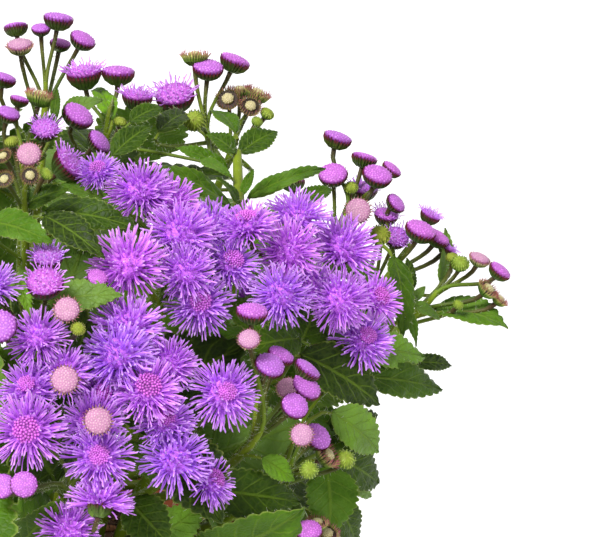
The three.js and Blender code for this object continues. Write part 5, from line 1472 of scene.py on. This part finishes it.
@dataclass(frozen=True)
class OpenHead(HeadForm):
    """A pompon of wavy threads on a small green cup, in shares of its width."""

    threads: int = 190
    thread_radius: float = 0.0115
    thread_play: Pair = (0.8, 1.2)
    spread: float = math.radians(105)
    tousle: float = 0.1
    seat: float = 0.16
    flatness: Numbers = (1, 1, 0.6)
    heart: Numbers = (0, 0, -0.12)
    reach: float = 0.44
    reach_shares: Pair = (0.88, 0.12)
    reach_play: Pair = (0.74, 1.1)
    wave: float = 0.034
    disc_share: float = 0.42
    disc_degrees: Pair = (22, 34)
    disc_knobs: int = 64
    disc_margin: float = 0.12
    disc_seat: float = 0.3
    knob_size: Pair = (0.027, 0.036)
    corollas: int = 40
    corolla_spread: float = math.radians(95)
    corolla_seat: Numbers = (0.14, 0.14, 0.08)
    corolla_length: float = 0.2
    corolla_radii: Numbers = (0.014, 0.018, 0.03)
    corolla_shade: Pair = (0.42, 0.5)
    core: Profile = ((0, -0.22), (0.2, -0.15), (0.26, -0.04), (0.2, 0.06), (0, 0.1))
    core_sides: int = 12
    cup: Profile = ((0, -0.34), (0.07, -0.33), (0.14, -0.27), (0.18, -0.18), (0.18, -0.1), (0, -0.06))
    cup_sides: int = 14
    bracts: int = 22
    bract_play: float = 0.25
    bract_lift: Pair = (0.85, 1.1)
    bract_reaches: Numbers = (0.09, 0.165, 0.2, 0.235)
    bract_heights: Numbers = (-0.32, -0.26, -0.16, -0.05)
    bract_radii: Numbers = (0.016, 0.022, 0.018, 0.0)

    def _pieces(self, kit: HeadKit) -> Iterable[Shape]:
        """The threads, the tubes between them, the disc on some, the core, the cup and its bracts."""
        has_disc = kit.draws.random() < self.disc_share
        bare = math.radians(kit.draws.uniform(*self.disc_degrees)) if has_disc else 0.0
        shapes = [self._threads(bare, kit), self._corollas(bare, kit)]
        if has_disc:
            caps = spread_ways(self.disc_knobs, bare + self.disc_margin)
            shapes.append(kit.knobs(self.disc_seat * caps + self.heart, caps, self.knob_size, Skin.KNOB))
        shapes.append(lathe(self.core, self.core_sides, Skin.CORE))
        shapes.append(lathe(self.cup, self.cup_sides, Skin.CUP))
        turn = kit.ring_turns(self.bracts, self.bract_play)
        lift = kit.draws.uniform(*self.bract_lift, (self.bracts, 1))
        paths = round_places(self.bract_reaches, turn[:, None], lift * self.bract_heights)
        shapes.append(kit.bract_row(Skin.BRACT, paths, self.bract_radii))
        return shapes

    def _threads(self, bare: float, kit: HeadKit) -> Shape:
        """The long wavy threads."""
        ways = spread_ways(self.threads, self.spread, bare)
        ways = units(ways + kit.draws.normal(scale=self.tousle, size=ways.shape))
        starts = self.seat * ways * self.flatness + self.heart
        least, more = self.reach_shares
        play = kit.draws.uniform(*self.reach_play, self.threads)
        lengths = self.reach * (least + more * (1 - ways[:, 2] ** 2)) * play
        paths = kit.wavy_paths(starts, ways, lengths, THREAD_SHARES, self.wave)
        radii = kit.draws.uniform(*self.thread_play, (self.threads, 1)) * THREAD_FORM * self.thread_radius
        return kit.threads(paths, radii)

    def _corollas(self, bare: float, kit: HeadKit) -> Shape:
        """The short tubes between the threads."""
        count = self.corollas
        ways = spread_ways(count, self.corolla_spread, bare)
        starts = ways * self.corolla_seat + self.heart
        paths = kit.wavy_paths(starts, ways, np.full(count, self.corolla_length), COROLLA_SHARES, 0.0)
        shade, draw_share = self.corolla_shade
        tube, radii = rod(4, len(COROLLA_SHARES), Skin.THREAD), np.tile(self.corolla_radii, (count, 1))
        tubes = bent(tube, paths, radii, kit.draws.random(count) * draw_share)
        tubes.grain[:, 0] *= shade
        return tubes


@dataclass(frozen=True)
class BudHead(HeadForm):
    """A button bud: a ribbed cup, a flat grainy top and bract tips that stand round it, in shares of its width.

    A row of bracts is how many, how far their tips stand out and how high they reach.
    """

    top: Skin = Skin.BUD_TOP
    bract_skin: Skin = Skin.BRACT
    rows: tuple[tuple[int, float, float], ...] = ((24, 0.02, 0.15),)
    knobs: int = 84
    crown: float = 1.0
    bract_radius: float = 0.042
    sides: int = 18
    cup: Profile = (
        (0, -0.31), (0.12, -0.305), (0.26, -0.25), (0.37, -0.14), (0.435, -0.01), (0.445, 0.04), (0, 0.06),
    )
    dome: Profile = (
        (0, 0.0), (0.42, 0.0), (0.462, 0.06), (0.462, 0.12), (0.43, 0.17), (0.34, 0.21), (0.18, 0.235), (0, 0.24),
    )
    dome_shade: float = 0.5
    disc: float = 0.45
    edge: float = 0.475
    knob_heights: Pair = (0.1, 0.14)
    knob_lean: float = 0.9
    knob_size: Pair = (0.042, 0.034)
    bract_play: float = 0.2
    tip_play: Pair = (0.6, 1.4)
    lift_play: Pair = (0.8, 1.15)
    bract_reaches: Numbers = (0.2, 0.375, 0.455)
    bract_heights: Numbers = (-0.28, -0.15, 0.01)
    bract_form: Numbers = (0.5, 0.8, 1.0, 0.0)

    def _pieces(self, kit: HeadKit) -> Iterable[Shape]:
        """The cup, the top, its grains and the rows of bracts."""
        cup = lathe(self.cup, self.sides, Skin.CUP)
        dome = lathe(self.dome, self.sides, self.top)
        dome.points[:, :2] *= self.crown
        dome.grain[:, 0] *= self.dome_shade
        share, turn = disc_spiral(self.knobs)
        radius = self.disc * share
        low, rise = self.knob_heights
        height = low + rise * np.sqrt(np.clip(1 - (radius / self.edge) ** 2, 0, 1))
        at = round_places(self.crown * radius, turn, height)
        ways = units(round_places(self.knob_lean * share**2, turn, 1.0))
        grains = kit.knobs(at, ways, self.knob_size, self.top)
        return cup, dome, grains, *(self._bracts(row, kit) for row in self.rows)

    def _bracts(self, row: tuple[int, float, float], kit: HeadKit) -> Shape:
        """A row of the bracts that rib the cup and stand as teeth round the top."""
        count, reach, lift = row
        turn = kit.ring_turns(count, self.bract_play)
        tip = self.edge + reach * kit.draws.uniform(*self.tip_play, (count, 1))
        top = lift * kit.draws.uniform(*self.lift_play, (count, 1))
        radius = np.hstack((np.tile(self.bract_reaches, (count, 1)), tip))
        height = np.hstack((np.tile(self.bract_heights, (count, 1)), top))
        radii = self.bract_radius * np.array(self.bract_form)
        return kit.bract_row(self.bract_skin, round_places(radius, turn[:, None], height), radii)


@dataclass(frozen=True)
class GreenBud(HeadForm):
    """A closed bud, wrapped in narrow bracts whose tips meet above it, in shares of its width.

    A row of bracts is how many and how far it has risen.
    """

    rows: tuple[tuple[int, float], ...] = ((20, 0.0), (16, 0.06), (11, 0.12))
    sides: int = 18
    body: Profile = (
        (0, -0.31), (0.13, -0.3), (0.28, -0.23), (0.37, -0.1), (0.39, 0.03), (0.34, 0.16), (0.22, 0.26), (0.1, 0.3),
        (0, 0.31),
    )
    bract_play: float = 0.25
    row_shift: float = 5
    tip_play: Pair = (0.8, 1.3)
    bract_reaches: Numbers = (0.17, 0.38, 0.42, 0.34)
    bract_closings: Numbers = (0.0, 0.0, 1.3, 2.2)
    bract_heights: Numbers = (-0.28, -0.08, 0.1, 0.24)
    bract_rises: Numbers = (0.0, 1.0, 1.0, 0.7)
    bract_radii: Numbers = (0.02, 0.036, 0.034, 0.0)

    def _pieces(self, kit: HeadKit) -> Iterable[Shape]:
        """The body and the rows of bracts."""
        shapes = [lathe(self.body, self.sides, Skin.GREEN_TOP)]
        for count, rise in self.rows:
            turn = kit.ring_turns(count, self.bract_play, self.row_shift * rise)
            tip = kit.draws.uniform(*self.tip_play, (count, 1))
            radius = self.bract_reaches - rise * np.array(self.bract_closings) * tip
            height = self.bract_heights + rise * np.array(self.bract_rises) * tip
            paths = round_places(radius, turn[:, None], height)
            shapes.append(kit.bract_row(Skin.BRACT_GREEN, paths, self.bract_radii))
        return shapes


@dataclass(frozen=True)
class HalfHead(HeadForm):
    """A head that has just opened: a bowl, a flat grainy top and a crown of threads, in shares of its width."""

    sides: int = 18
    cup: Profile = ((0, -0.35), (0.1, -0.34), (0.23, -0.27), (0.33, -0.14), (0.38, 0.0), (0.37, 0.04), (0, 0.06))
    dome: Profile = ((0, 0.0), (0.34, 0.0), (0.39, 0.05), (0.385, 0.11), (0.3, 0.15), (0.15, 0.175), (0, 0.18))
    dome_shade: float = 0.5
    disc: float = 0.37
    threads: int = 96
    thread_radius: float = 0.0135
    thread_foot: Numbers = (0, 0, 0.08)
    thread_lean: float = 1.5
    thread_upright: Numbers = (0, 0, 0.8)
    tousle: float = 0.22
    reach_shares: Pair = (0.13, 0.14)
    reach_play: Pair = (0.8, 1.25)
    wave: float = 0.03
    thread_shade: Pair = (0.25, 0.75)
    knobs: int = 60
    knob_size: Pair = (0.036, 0.036)
    knob_heights: Pair = (0.06, 0.11)
    knob_fall: float = 0.9
    bracts: int = 26
    bract_play: float = 0.2
    bract_reaches: Numbers = (0.16, 0.3, 0.38, 0.41)
    bract_heights: Numbers = (-0.32, -0.18, -0.02, 0.1)
    bract_radii: Numbers = (0.018, 0.03, 0.036, 0.0)

    def _pieces(self, kit: HeadKit) -> Iterable[Shape]:
        """The bowl, the top, the crown of threads, the grains and the bracts."""
        cup = lathe(self.cup, self.sides, Skin.CUP)
        dome = lathe(self.dome, self.sides, Skin.BUD_TOP)
        dome.grain[:, 0] *= self.dome_shade
        threads = self._threads(kit)
        share, turn = disc_spiral(self.knobs)
        level = round_places(1.0, turn, 0.0)
        spread = share[:, None]
        low, rise = self.knob_heights
        at = self.disc * spread * level + UP * (low + rise * np.sqrt(1 - self.knob_fall * spread**2))
        knobs = kit.knobs(at, units(level * spread**2 + UP), self.knob_size, Skin.BUD_TOP)
        turn = kit.ring_turns(self.bracts, self.bract_play)
        paths = round_places(self.bract_reaches, turn[:, None], self.bract_heights)
        bracts = kit.bract_row(Skin.BRACT, paths, self.bract_radii)
        return cup, dome, threads, knobs, bracts

    def _threads(self, kit: HeadKit) -> Shape:
        """The crown of threads, which lean out towards the edge."""
        share, turn = disc_spiral(self.threads)
        level = round_places(1.0, turn, 0.0)
        starts = self.disc * share[:, None] * level + self.thread_foot
        leans = (self.thread_lean * share**3)[:, None] * level + kit.draws.normal(scale=self.tousle, size=level.shape)
        ways = units(leans + self.thread_upright)
        least, more = self.reach_shares
        lengths = (least + more * share**2) * kit.draws.uniform(*self.reach_play, self.threads)
        paths = kit.wavy_paths(starts, ways, lengths, THREAD_SHARES, self.wave)
        radii = np.tile(THREAD_FORM * self.thread_radius, (self.threads, 1))
        threads = kit.threads(paths, radii)
        foot, rise = self.thread_shade
        threads.grain[:, 0] = foot + rise * threads.grain[:, 0]
        return threads


HEAD_FORMS: Final = {
    Stage.OPEN: OpenHead(),
    Stage.HALF: HalfHead(),
    Stage.BUD: BudHead(),
    Stage.PALE: BudHead(Skin.PALE_TOP, Skin.BRACT_PALE, ((26, 0.03, 0.19), (26, 0.1, 0.12)), 70),
    Stage.FRINGED: BudHead(
        Skin.CREAM_TOP, Skin.BRACT_FRINGE, ((30, 0.13, 0.2), (26, 0.03, 0.3), (20, -0.13, 0.34)), 44, 0.54, 0.032
    ),
    Stage.GREEN: GreenBud(),
}
BASE_DEPTHS: Final = {Stage.OPEN: 0.33, Stage.HALF: 0.35}
BUD_BASE_DEPTH: Final = 0.3


# ---------------------------------------------------------------- leaves and stems
@dataclass
class Blade:
    """A quilted, toothed leaf blade laid on a plan leaf."""

    leaf: Leaf
    phase: float
    teeth: int = 11
    thickness: float = 0.32
    tooth_reach: float = 0.05
    tooth_forward: float = 0.012
    toothless: float = 0.1
    least_half: float = 0.02
    quilt: float = 0.022
    ripple: float = 0.02
    ripple_turns: float = 1.6
    curl: float = 0.05
    edge_thinning: float = 0.6

    def at(self, along: Array, side: Array, layer: Array) -> Array:
        """Places on the blade.

        Args:
            along: The share from foot to tip.
            side: The signed share from midrib to edge.
            layer: 0 on the upper side, -1 on the lower.

        Returns:
            The places.
        """
        leaf = self.leaf
        length, way, up, aside = leaf.frame()
        out = np.abs(side)
        lobe = np.abs(np.sin(math.pi * self.teeth * along)) ** 0.6 * out**6
        half = 0.5 * leaf.width * np.maximum(np.sin(math.pi * along**LEAF_SKEW) ** 0.86, self.least_half)
        has_teeth = half > self.toothless * leaf.width
        spread = side * (half + self.tooth_reach * leaf.width * (lobe - 0.5 * out**6) * has_teeth)
        swell = np.abs(np.sin(math.pi * VEIN_PAIRS * (along - VEIN_SWEEP * out))) ** 0.8 * (1 - out**6)
        rise = LEAF_ARCH * length * 4 * along * (1 - along) + LEAF_FOLD * np.abs(spread)
        rise += self.quilt * length * swell * np.minimum(1, 6 * out) - self.curl * length * along**3
        rise += self.ripple * length * np.sin(2 * math.pi * (self.ripple_turns * along + self.phase)) * side * out
        rise += layer * self.thickness * (1 - self.edge_thinning * out**4)
        forward = along * length + self.tooth_forward * length * lobe
        return leaf.foot + forward[:, None] * way + rise[:, None] * up + spread[:, None] * aside

    def build(self, sheet: Shape, piece: float) -> Shape:
        """Bends a flat sheet into the blade.

        Args:
            sheet: The sheet, in shares along and aside and by layer.
            piece: The leaf's draw.

        Returns:
            The blade.
        """
        along, side, layer = sheet.points.T
        grain = grained(sheet.points, along, side, piece)
        return Shape(self.at(along, side, layer), sheet.faces, grain, sheet.skins)

    def edge_hairs(self, count: int, draws: np.random.Generator) -> Array:
        """Hairs on the edge.

        Args:
            count: How many.
            draws: The draws.

        Returns:
            The root and the tip of each.
        """
        along = draws.uniform(0.04, 0.99, count)
        side = np.where(draws.random(count) < 0.5, -1.0, 1.0)
        roots = self.at(along, side, np.full(count, -0.5))
        inner = self.at(along, 0.8 * side, np.full(count, -0.5))
        ways = units(roots - inner, NO_LENGTH) + draws.normal(scale=EDGE_HAIR_TOUSLE, size=roots.shape)
        return np.stack((roots, roots + ways * draws.uniform(*EDGE_HAIR_LENGTHS, (count, 1))), axis=1)


def leaf_sheet() -> Shape:
    """A flat, closed sheet with points in shares along and aside and a layer of 0 or -1."""
    mesh = bmesh.new()
    bmesh.ops.create_grid(mesh, x_segments=33, y_segments=6, size=1.0)
    bmesh.ops.solidify(mesh, geom=mesh.faces[:], thickness=1.0)
    bmesh.ops.recalc_face_normals(mesh, faces=mesh.faces)
    sheet = Shape.drawn(mesh, Skin.LEAF)
    heights = sheet.points[:, 2]
    sheet.points[:, 2] = np.where(heights < heights.max() - 0.5, -1.0, 0.0)
    sheet.points[:, 0] = (sheet.points[:, 0] + 1) / 2
    is_top = (sheet.points[sheet.faces][:, :, 2] > -0.5).all(axis=1)
    sheet.skins = np.where(is_top, SKINS.index(Skin.LEAF), SKINS.index(Skin.LEAF_UNDER))
    return sheet


def curve(points: Sequence[Array], steps: int) -> Array:
    """Places on the Bezier curve of three or four points."""
    shares = np.linspace(0, 1, steps)[:, None]
    rest = 1 - shares
    if len(points) == 3:
        a, b, c = points
        return rest**2 * a + 2 * rest * shares * b + shares**2 * c
    a, b, c, d = points
    return rest**3 * a + 3 * rest**2 * shares * b + 3 * rest * shares**2 * c + shares**3 * d


# Tapers are the radii from foot to top, as shares of the usual one.
STEM_TAPER: Final = (1, 1, 0.8)
BRANCH_TAPER: Final = (1.15, 1.05, 1.0, 0.95, 0.9, 0.88, 0.85, 0.78, 0.45)
STALK_TAPER: Final = (1.15, 1, 1, 1.3)
STALK_BENDS: Final = (0.35, 0.3)
LEAF_STALK_TAPER: Final = (1.25, 1, 1, 0.9, 0.3)
LEAF_STALK_RADIUS: Final = (0.34, 0.01)
LEAF_STALK_BEND: Final = (0.4, 0.1)
LEAF_STALK_UNDER: Final = (0.04, 0.3)
LEAF_STALK_SHADE: Final = 0.4
LEAF_EDGE_SHARE: Final = 2.4
HAIRS_PER_MM: Final = 2.6
LEAF_STALK_HAIRS: Final = 0.8
HAIR_ROOT_DEPTH: Final = 0.9
HAIR_TOUSLE: Final = 0.25
HAIR_LENGTHS: Final = (0.45, 0.95)
HAIR_RADII: Final = (0.045, 0.0)
EDGE_HAIRS_PER_MM: Final = 0.55
EDGE_HAIR_TOUSLE: Final = 0.35
EDGE_HAIR_LENGTHS: Final = (0.3, 0.7)


class ShootPieces:
    """The fine stems, leaves and heads of one shoot."""

    def __init__(self, shoot: Shoot, sheet: Shape, seed: int) -> None:
        """Takes what the shoot is made from.

        Args:
            shoot: Its plan.
            sheet: The flat leaf.
            seed: The seed of its draws.
        """
        self.shoot = shoot
        self.sheet = sheet
        self.draws = np.random.default_rng(seed)
        self.hairs: list[Array] = []
        self.green: list[Shape] = []

    def _limb(self, path: Array, radii: Sequence[float], sides: int, skin: Skin, hairs: float = 1.0) -> None:
        """Adds a stem, branch or stalk with its hairs.

        Args:
            path: Places along it.
            radii: Its radii, spread evenly along it.
            sides: Its sides.
            skin: Its finish.
            hairs: How hairy it is, as a share of the usual.
        """
        rings = len(path)
        radius = np.interp(np.linspace(0, 1, rings), np.linspace(0, 1, len(radii)), radii)
        own, piece = self.draws.random(1), self.draws.random()
        self.green.append(bent(rod(sides, rings, skin), path[None], radius[None], own, piece))
        steps = np.linalg.norm(np.diff(path, axis=0), axis=1)
        count = int(steps.sum() * HAIRS_PER_MM * hairs)
        share = self.draws.uniform(0, rings - 1.001, count)
        low = share.astype(int)
        part = (share - low)[:, None]
        middle = path[low] * (1 - part) + path[low + 1] * part
        out = square_to(self.draws.normal(size=(count, 3)), units(path[low + 1] - path[low], NO_LENGTH))
        roots = middle + out * HAIR_ROOT_DEPTH * radius[low][:, None]
        lean = out + HAIR_TOUSLE * self.draws.normal(size=(count, 3))
        tips = roots + lean * self.draws.uniform(*HAIR_LENGTHS, (count, 1))
        self.hairs.append(np.stack((roots, tips), axis=1))

    def _add_leaf(self, leaf: Leaf) -> None:
        """Adds a leaf with its stalk and the hairs on its edge."""
        blade = Blade(leaf, self.draws.random())
        self.green.append(blade.build(self.sheet, self.draws.random()))
        length, way = leaf.frame()[:2]
        under = blade.at(np.array(LEAF_STALK_UNDER), np.zeros(2), np.full(2, -1.0))
        gap = span(leaf.root, leaf.foot)
        along, down = LEAF_STALK_BEND
        stalk = curve((leaf.root, leaf.foot - along * gap * way - down * gap * UP, under[0]), 6)
        path = np.vstack((stalk, under[1:]))
        thick = LEAF_STALK_RADIUS[0] + LEAF_STALK_RADIUS[1] * leaf.width
        self._limb(path, [share * thick for share in LEAF_STALK_TAPER], 6, Skin.STALK, LEAF_STALK_HAIRS)
        self.green[-1].grain[:, 0] *= LEAF_STALK_SHADE
        self.hairs.append(blade.edge_hairs(int(LEAF_EDGE_SHARE * length * EDGE_HAIRS_PER_MM), self.draws))

    def foliage(self) -> Shape:
        """The stem, branches, stalks and leaves."""
        foot, knee, head = self.shoot.stem
        middle = knee + 0.5 * (head - knee)
        path = np.vstack((curve((foot, knee, middle), 7), curve((middle, middle, head), 4)[1:]))
        self._limb(path, [SHOOT_RADIUS * share for share in STEM_TAPER], 12, Skin.STEM)
        for low, top in self.shoot.uprights:
            self._limb(np.linspace(low, top, 12), UPRIGHT_RADII, 9, Skin.STEM)
        for branch in self.shoot.branches:
            bunch = branch.bunch
            self._limb(branch.points(18), [BRANCH_RADIUS * share for share in BRANCH_TAPER], 9, Skin.STEM)
            way = unit(bunch.fork - branch.bend)
            for root, flower in zip(branch.roots, bunch.heads):
                depth = BASE_DEPTHS.get(flower.stage, BUD_BASE_DEPTH)
                base = flower.at - depth * flower.width * flower.axis
                gap = span(root, base)
                low, high = STALK_BENDS
                path = curve((root, root + low * gap * way, base - high * gap * flower.axis, base), 8)
                self._limb(path, [STALK_RADIUS * share for share in STALK_TAPER], 6, Skin.STALK)
            for leaf in bunch.leaves:
                self._add_leaf(leaf)
        hairs = np.vstack(self.hairs)
        radii = np.tile(HAIR_RADII, (len(hairs), 1))
        self.green.append(bent(rod(3, 2, Skin.HAIR, True), hairs, radii, self.draws.random(len(hairs))))
        return Shape.joined(self.green)

    def heads(self, keep: Callable[[Head], bool]) -> Shape | None:
        """The flower heads that pass a test, or None where there are none."""
        kit = HeadKit(self.draws)
        shapes = []
        for branch in self.shoot.branches:
            for head in branch.bunch.heads:
                if keep(head):
                    form = HEAD_FORMS[head.stage].build(kit)
                    roll = self.draws.uniform(0, 2 * math.pi)
                    shapes.append(form.placed(head.at, head.axis, head.width, roll, self.draws.random()))
        return Shape.joined(shapes) if shapes else None


# ---------------------------------------------------------------- pot and soil
def pot_radius(height: float) -> float:
    """The pot's outer radius below its band at a height."""
    return POT_FOOT_RADIUS + (POT_RIM_RADIUS - RIM_BAND_STEP - POT_FOOT_RADIUS) * height / POT_HEIGHT


def pot_side(height: float, depth: float = 0.0) -> Pair:
    """A point of the pot's outline at a height, some way in from its outer side."""
    return pot_radius(height) - depth, height


@dataclass
class Pot:
    """A plain round pot with a rim band, a foot ring and drain holes."""

    sides: int = 128
    lip: float = 0.9
    foot_ring: float = 1.2

    def profile(self) -> Profile:
        """Its outline, from the middle of its underside round the rim to the middle of its floor."""
        band = POT_HEIGHT - RIM_BAND_HEIGHT
        inner = pot_radius(POT_HEIGHT) - POT_WALL
        floor = pot_radius(POT_FLOOR) - POT_WALL
        foot, rim, top, lip = POT_FOOT_RADIUS, POT_RIM_RADIUS, POT_HEIGHT, self.lip
        return (
            (0, 0.0), (DRAIN_RING - 9, 0.0), (foot - 0.8, 0.0), (foot - 0.2, 0.25), (foot, 0.8),
            pot_side(0.3 * band), pot_side(0.6 * band), pot_side(band - self.foot_ring),
            (pot_radius(band) + 0.15, band - 0.2), (rim - 0.5, band + 0.1), (rim - 0.1, band + 0.35),
            (rim, band + 0.9), (rim, top - lip), (rim - 0.3 * lip, top - 0.3 * lip), (rim - lip, top),
            (inner + lip, top), (inner + 0.3 * lip, top - 0.3 * lip), (inner, top - lip),
            pot_side(0.5 * top, POT_WALL), (floor, POT_FLOOR + 1.0), (floor - 1.0, POT_FLOOR), (0, POT_FLOOR),
        )

    def build(self) -> None:
        """Turns the pot and drills its drain holes."""
        made = show("pot_shell", lathe(self.profile(), self.sides, Skin.POT), ("pot",), 35.0)
        drill = bmesh.new()
        for i in range(DRAIN_HOLES):
            turn = i * 2 * math.pi / DRAIN_HOLES
            at = Vector((DRAIN_RING * math.cos(turn), DRAIN_RING * math.sin(turn), POT_FLOOR / 2)) * MM
            radius = DRAIN_RADIUS * MM
            bmesh.ops.create_cone(
                drill, cap_ends=True, segments=24, radius1=radius, radius2=radius, depth=(POT_FLOOR + 4) * MM,
                matrix=Matrix.Translation(at),
            )
        cutter = linked("drill", drawn_mesh("drill", drill))
        cut = made.modifiers.new("drains", "BOOLEAN")
        cut.operation = "DIFFERENCE"
        cut.solver = "EXACT"
        cut.object = cutter
        bpy.context.view_layer.update()
        drilled = bpy.data.meshes.new_from_object(made.evaluated_get(bpy.context.evaluated_depsgraph_get()))
        made.modifiers.clear()
        made.data = drilled
        bpy.data.objects.remove(cutter)


# A wave is its strength, the sine's steps across and along and its shift, and the cosine's steps.
SOIL_WAVES: Final = ((0.7, 0.31, 0, 1.3, 0, 0.27), (0.45, 0.83, 0.61, 0, 0, 0), (0.3, 1.9, -1.3, 2, 0.7, 2.1))


@dataclass
class Soil:
    """Potting mix with an uneven top, crumbs of peat and bark and pale grains."""

    sides: int = 96
    rings: int = 26
    gap: float = 0.4
    crumbs: int = 760
    crumb_sizes: Pair = (0.5, 1.9)
    grains: int = 90
    grain_sizes: Pair = (0.5, 1.1)
    margin: float = 2.2
    seed: int = 5

    @staticmethod
    def _height(x: Array, y: Array) -> Array:
        """The height of the top at a place."""
        share = np.hypot(x, y) / POT_RIM_RADIUS
        waves = sum(
            strength * np.sin(x * a + y * b + shift) * np.cos(x * c + y * d)
            for strength, a, b, shift, c, d in SOIL_WAVES
        )
        return SOIL_LEVEL + SOIL_CROWN * (1 - share**2) - 1.0 + waves

    def build(self) -> None:
        """Makes the soil with its crumbs and grains."""
        reach = pot_radius(SOIL_LEVEL) - POT_WALL - self.gap
        low = pot_radius(POT_FLOOR) - POT_WALL - 1.4
        top = [(reach * share, SOIL_LEVEL) for share in np.linspace(1, 0, self.rings)]
        side = ((0, POT_FLOOR + 0.3), (low, POT_FLOOR + 0.3), (reach - 0.5, SOIL_LEVEL - 4))
        bulk = lathe((*side, *top), self.sides, Skin.SOIL)
        is_top = bulk.points[:, 2] > SOIL_LEVEL - 1
        bulk.points[is_top, 2] = self._height(bulk.points[is_top, 0], bulk.points[is_top, 1])
        draws = np.random.default_rng(self.seed)
        bulk.grain[:, 0] = draws.random(len(bulk.points))
        crumbs = self._scatter(self.crumbs, self.crumb_sizes, Skin.CRUMB, reach - self.margin, draws)
        grains = self._scatter(self.grains, self.grain_sizes, Skin.GRAIN, reach - self.margin, draws)
        show("soil_bed", Shape.joined((bulk, crumbs, grains)), ("soil",), 60.0)

    def _scatter(
        self, count: int, sizes: Pair, skin: Skin, reach: float, draws: np.random.Generator
    ) -> Shape:
        """Uneven lumps half sunk in the top.

        Args:
            count: How many.
            sizes: Their least and greatest radius.
            skin: Their finish.
            reach: How far from the middle they lie.
            draws: The draws.

        Returns:
            The lumps.
        """
        mesh = bmesh.new()
        bmesh.ops.create_icosphere(mesh, subdivisions=1, radius=1.0)
        ball = Shape.drawn(mesh, skin)
        size = sizes[0] + (sizes[1] - sizes[0]) * draws.random(count) ** 2.5
        turn = draws.uniform(0, 2 * math.pi, count)
        out = reach * np.sqrt(draws.random(count))
        x, y = out * np.cos(turn), out * np.sin(turn)
        at = np.stack((x, y, self._height(x, y) + 0.2 * size), axis=1)
        shapes = ball.points * draws.uniform(0.7, 1.25, (count, len(ball.points), 1))
        shapes = shapes * draws.uniform(0.6, 1.3, (count, 1, 3)) * (1, 1, 0.75)
        along, own = draws.random((count, 1)), draws.random((count, 1))
        return ball.copies(at[:, None] + size[:, None, None] * shapes, grained(shapes, along, own, own))


# ---------------------------------------------------------------- the studio
@dataclass
class Studio:
    """A pale floor, soft light and the camera."""

    floor_size: float = 12.0
    floor_grey: tuple[int, int, int] = (246, 246, 246)
    sky: float = 0.6
    sun: float = 3.5
    sun_way: tuple[float, float, float] = (0.42, 0.5, -0.8)
    sun_softness: float = math.radians(22)
    sensor: float = 36

    def build(self) -> None:
        """Sets up the floor, the light and the camera."""
        mesh = bmesh.new()
        bmesh.ops.create_grid(mesh, x_segments=1, y_segments=1, size=self.floor_size / 2)
        floor = linked("floor", drawn_mesh("floor", mesh))
        graph = Graph("floor_white")
        inputs = {"Base Color": rgb(*self.floor_grey), "Roughness": 0.9, "Specular IOR Level": 0.1}
        shader = graph.node("ShaderNodeBsdfPrincipled", inputs)
        graph.node("ShaderNodeOutputMaterial", {"Surface": shader.outputs[0]})
        floor.data.materials.append(graph.material)
        world = bpy.data.worlds.new("sky")
        world.use_nodes = True
        background = world.node_tree.nodes["Background"].inputs
        background["Color"].default_value = (1.0, 1.0, 1.0, 1.0)
        background["Strength"].default_value = self.sky
        bpy.context.scene.world = world
        light = bpy.data.lights.new("sun", "SUN")
        light.energy = self.sun
        light.angle = self.sun_softness
        linked("sun", light).rotation_euler = Vector(self.sun_way).to_track_quat("-Z", "Y").to_euler()
        self._camera()

    def _camera(self) -> None:
        """Looks at the plant from the front, a little from above."""
        data = bpy.data.cameras.new("camera")
        data.sensor_width = self.sensor
        data.lens = self.sensor * EYE_DISTANCE / (2 * SHEET_CENTRE[0] * GRID)
        data.clip_end = 100
        camera = linked("camera", data)
        camera.location = Vector(EYE * MM)
        camera.rotation_euler = Vector(-TOWARD).to_track_quat("-Z", "Y").to_euler()
        bpy.context.scene.camera = camera


SHOOT_SEED: Final = 40


class Ageratum:
    """The potted plant: pot, soil and a set of shoots."""

    def __init__(self) -> None:
        """Plans the plant."""
        self.plan = Plan()
        self.sheet = leaf_sheet()

    def build(self) -> None:
        """Makes all pieces and ties them to the frame."""
        Pot().build()
        Soil().build()
        low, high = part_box("open_heads_1")
        low, high = np.array(low) / MM, np.array(high) / MM

        def stands_alone(head: Head) -> bool:
            """Whether a head is among those that the part keeps apart from their shoots."""
            return head.stage is Stage.OPEN and bool(np.all(head.at > low) and np.all(head.at < high))

        for i, shoot in enumerate(self.plan.shoots):
            node = f"shoot_{shoot.name}"
            pieces = ShootPieces(shoot, self.sheet, SHOOT_SEED + i)
            show(f"foliage_{shoot.name}", pieces.foliage(), (node,))
            buds = pieces.heads(lambda head: head.stage is not Stage.OPEN)
            if buds is not None:
                show(f"buds_{shoot.name}", buds, (node,))
            blooms = pieces.heads(lambda head: head.stage is Stage.OPEN)
            if blooms is not None:
                heads = [head for branch in shoot.branches for head in branch.bunch.heads]
                owned = (node, "open_heads_1") if any(stands_alone(head) for head in heads) else (node,)
                show(f"blooms_{shoot.name}", blooms, owned)


def main() -> None:
    """Builds the plant on its frame and the studio round it."""
    logging.basicConfig(level=logging.INFO)
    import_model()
    Ageratum().build()
    Studio().build()
    bpy.context.scene.view_settings.view_transform = "Standard"


if __name__ == "__main__":
    main()
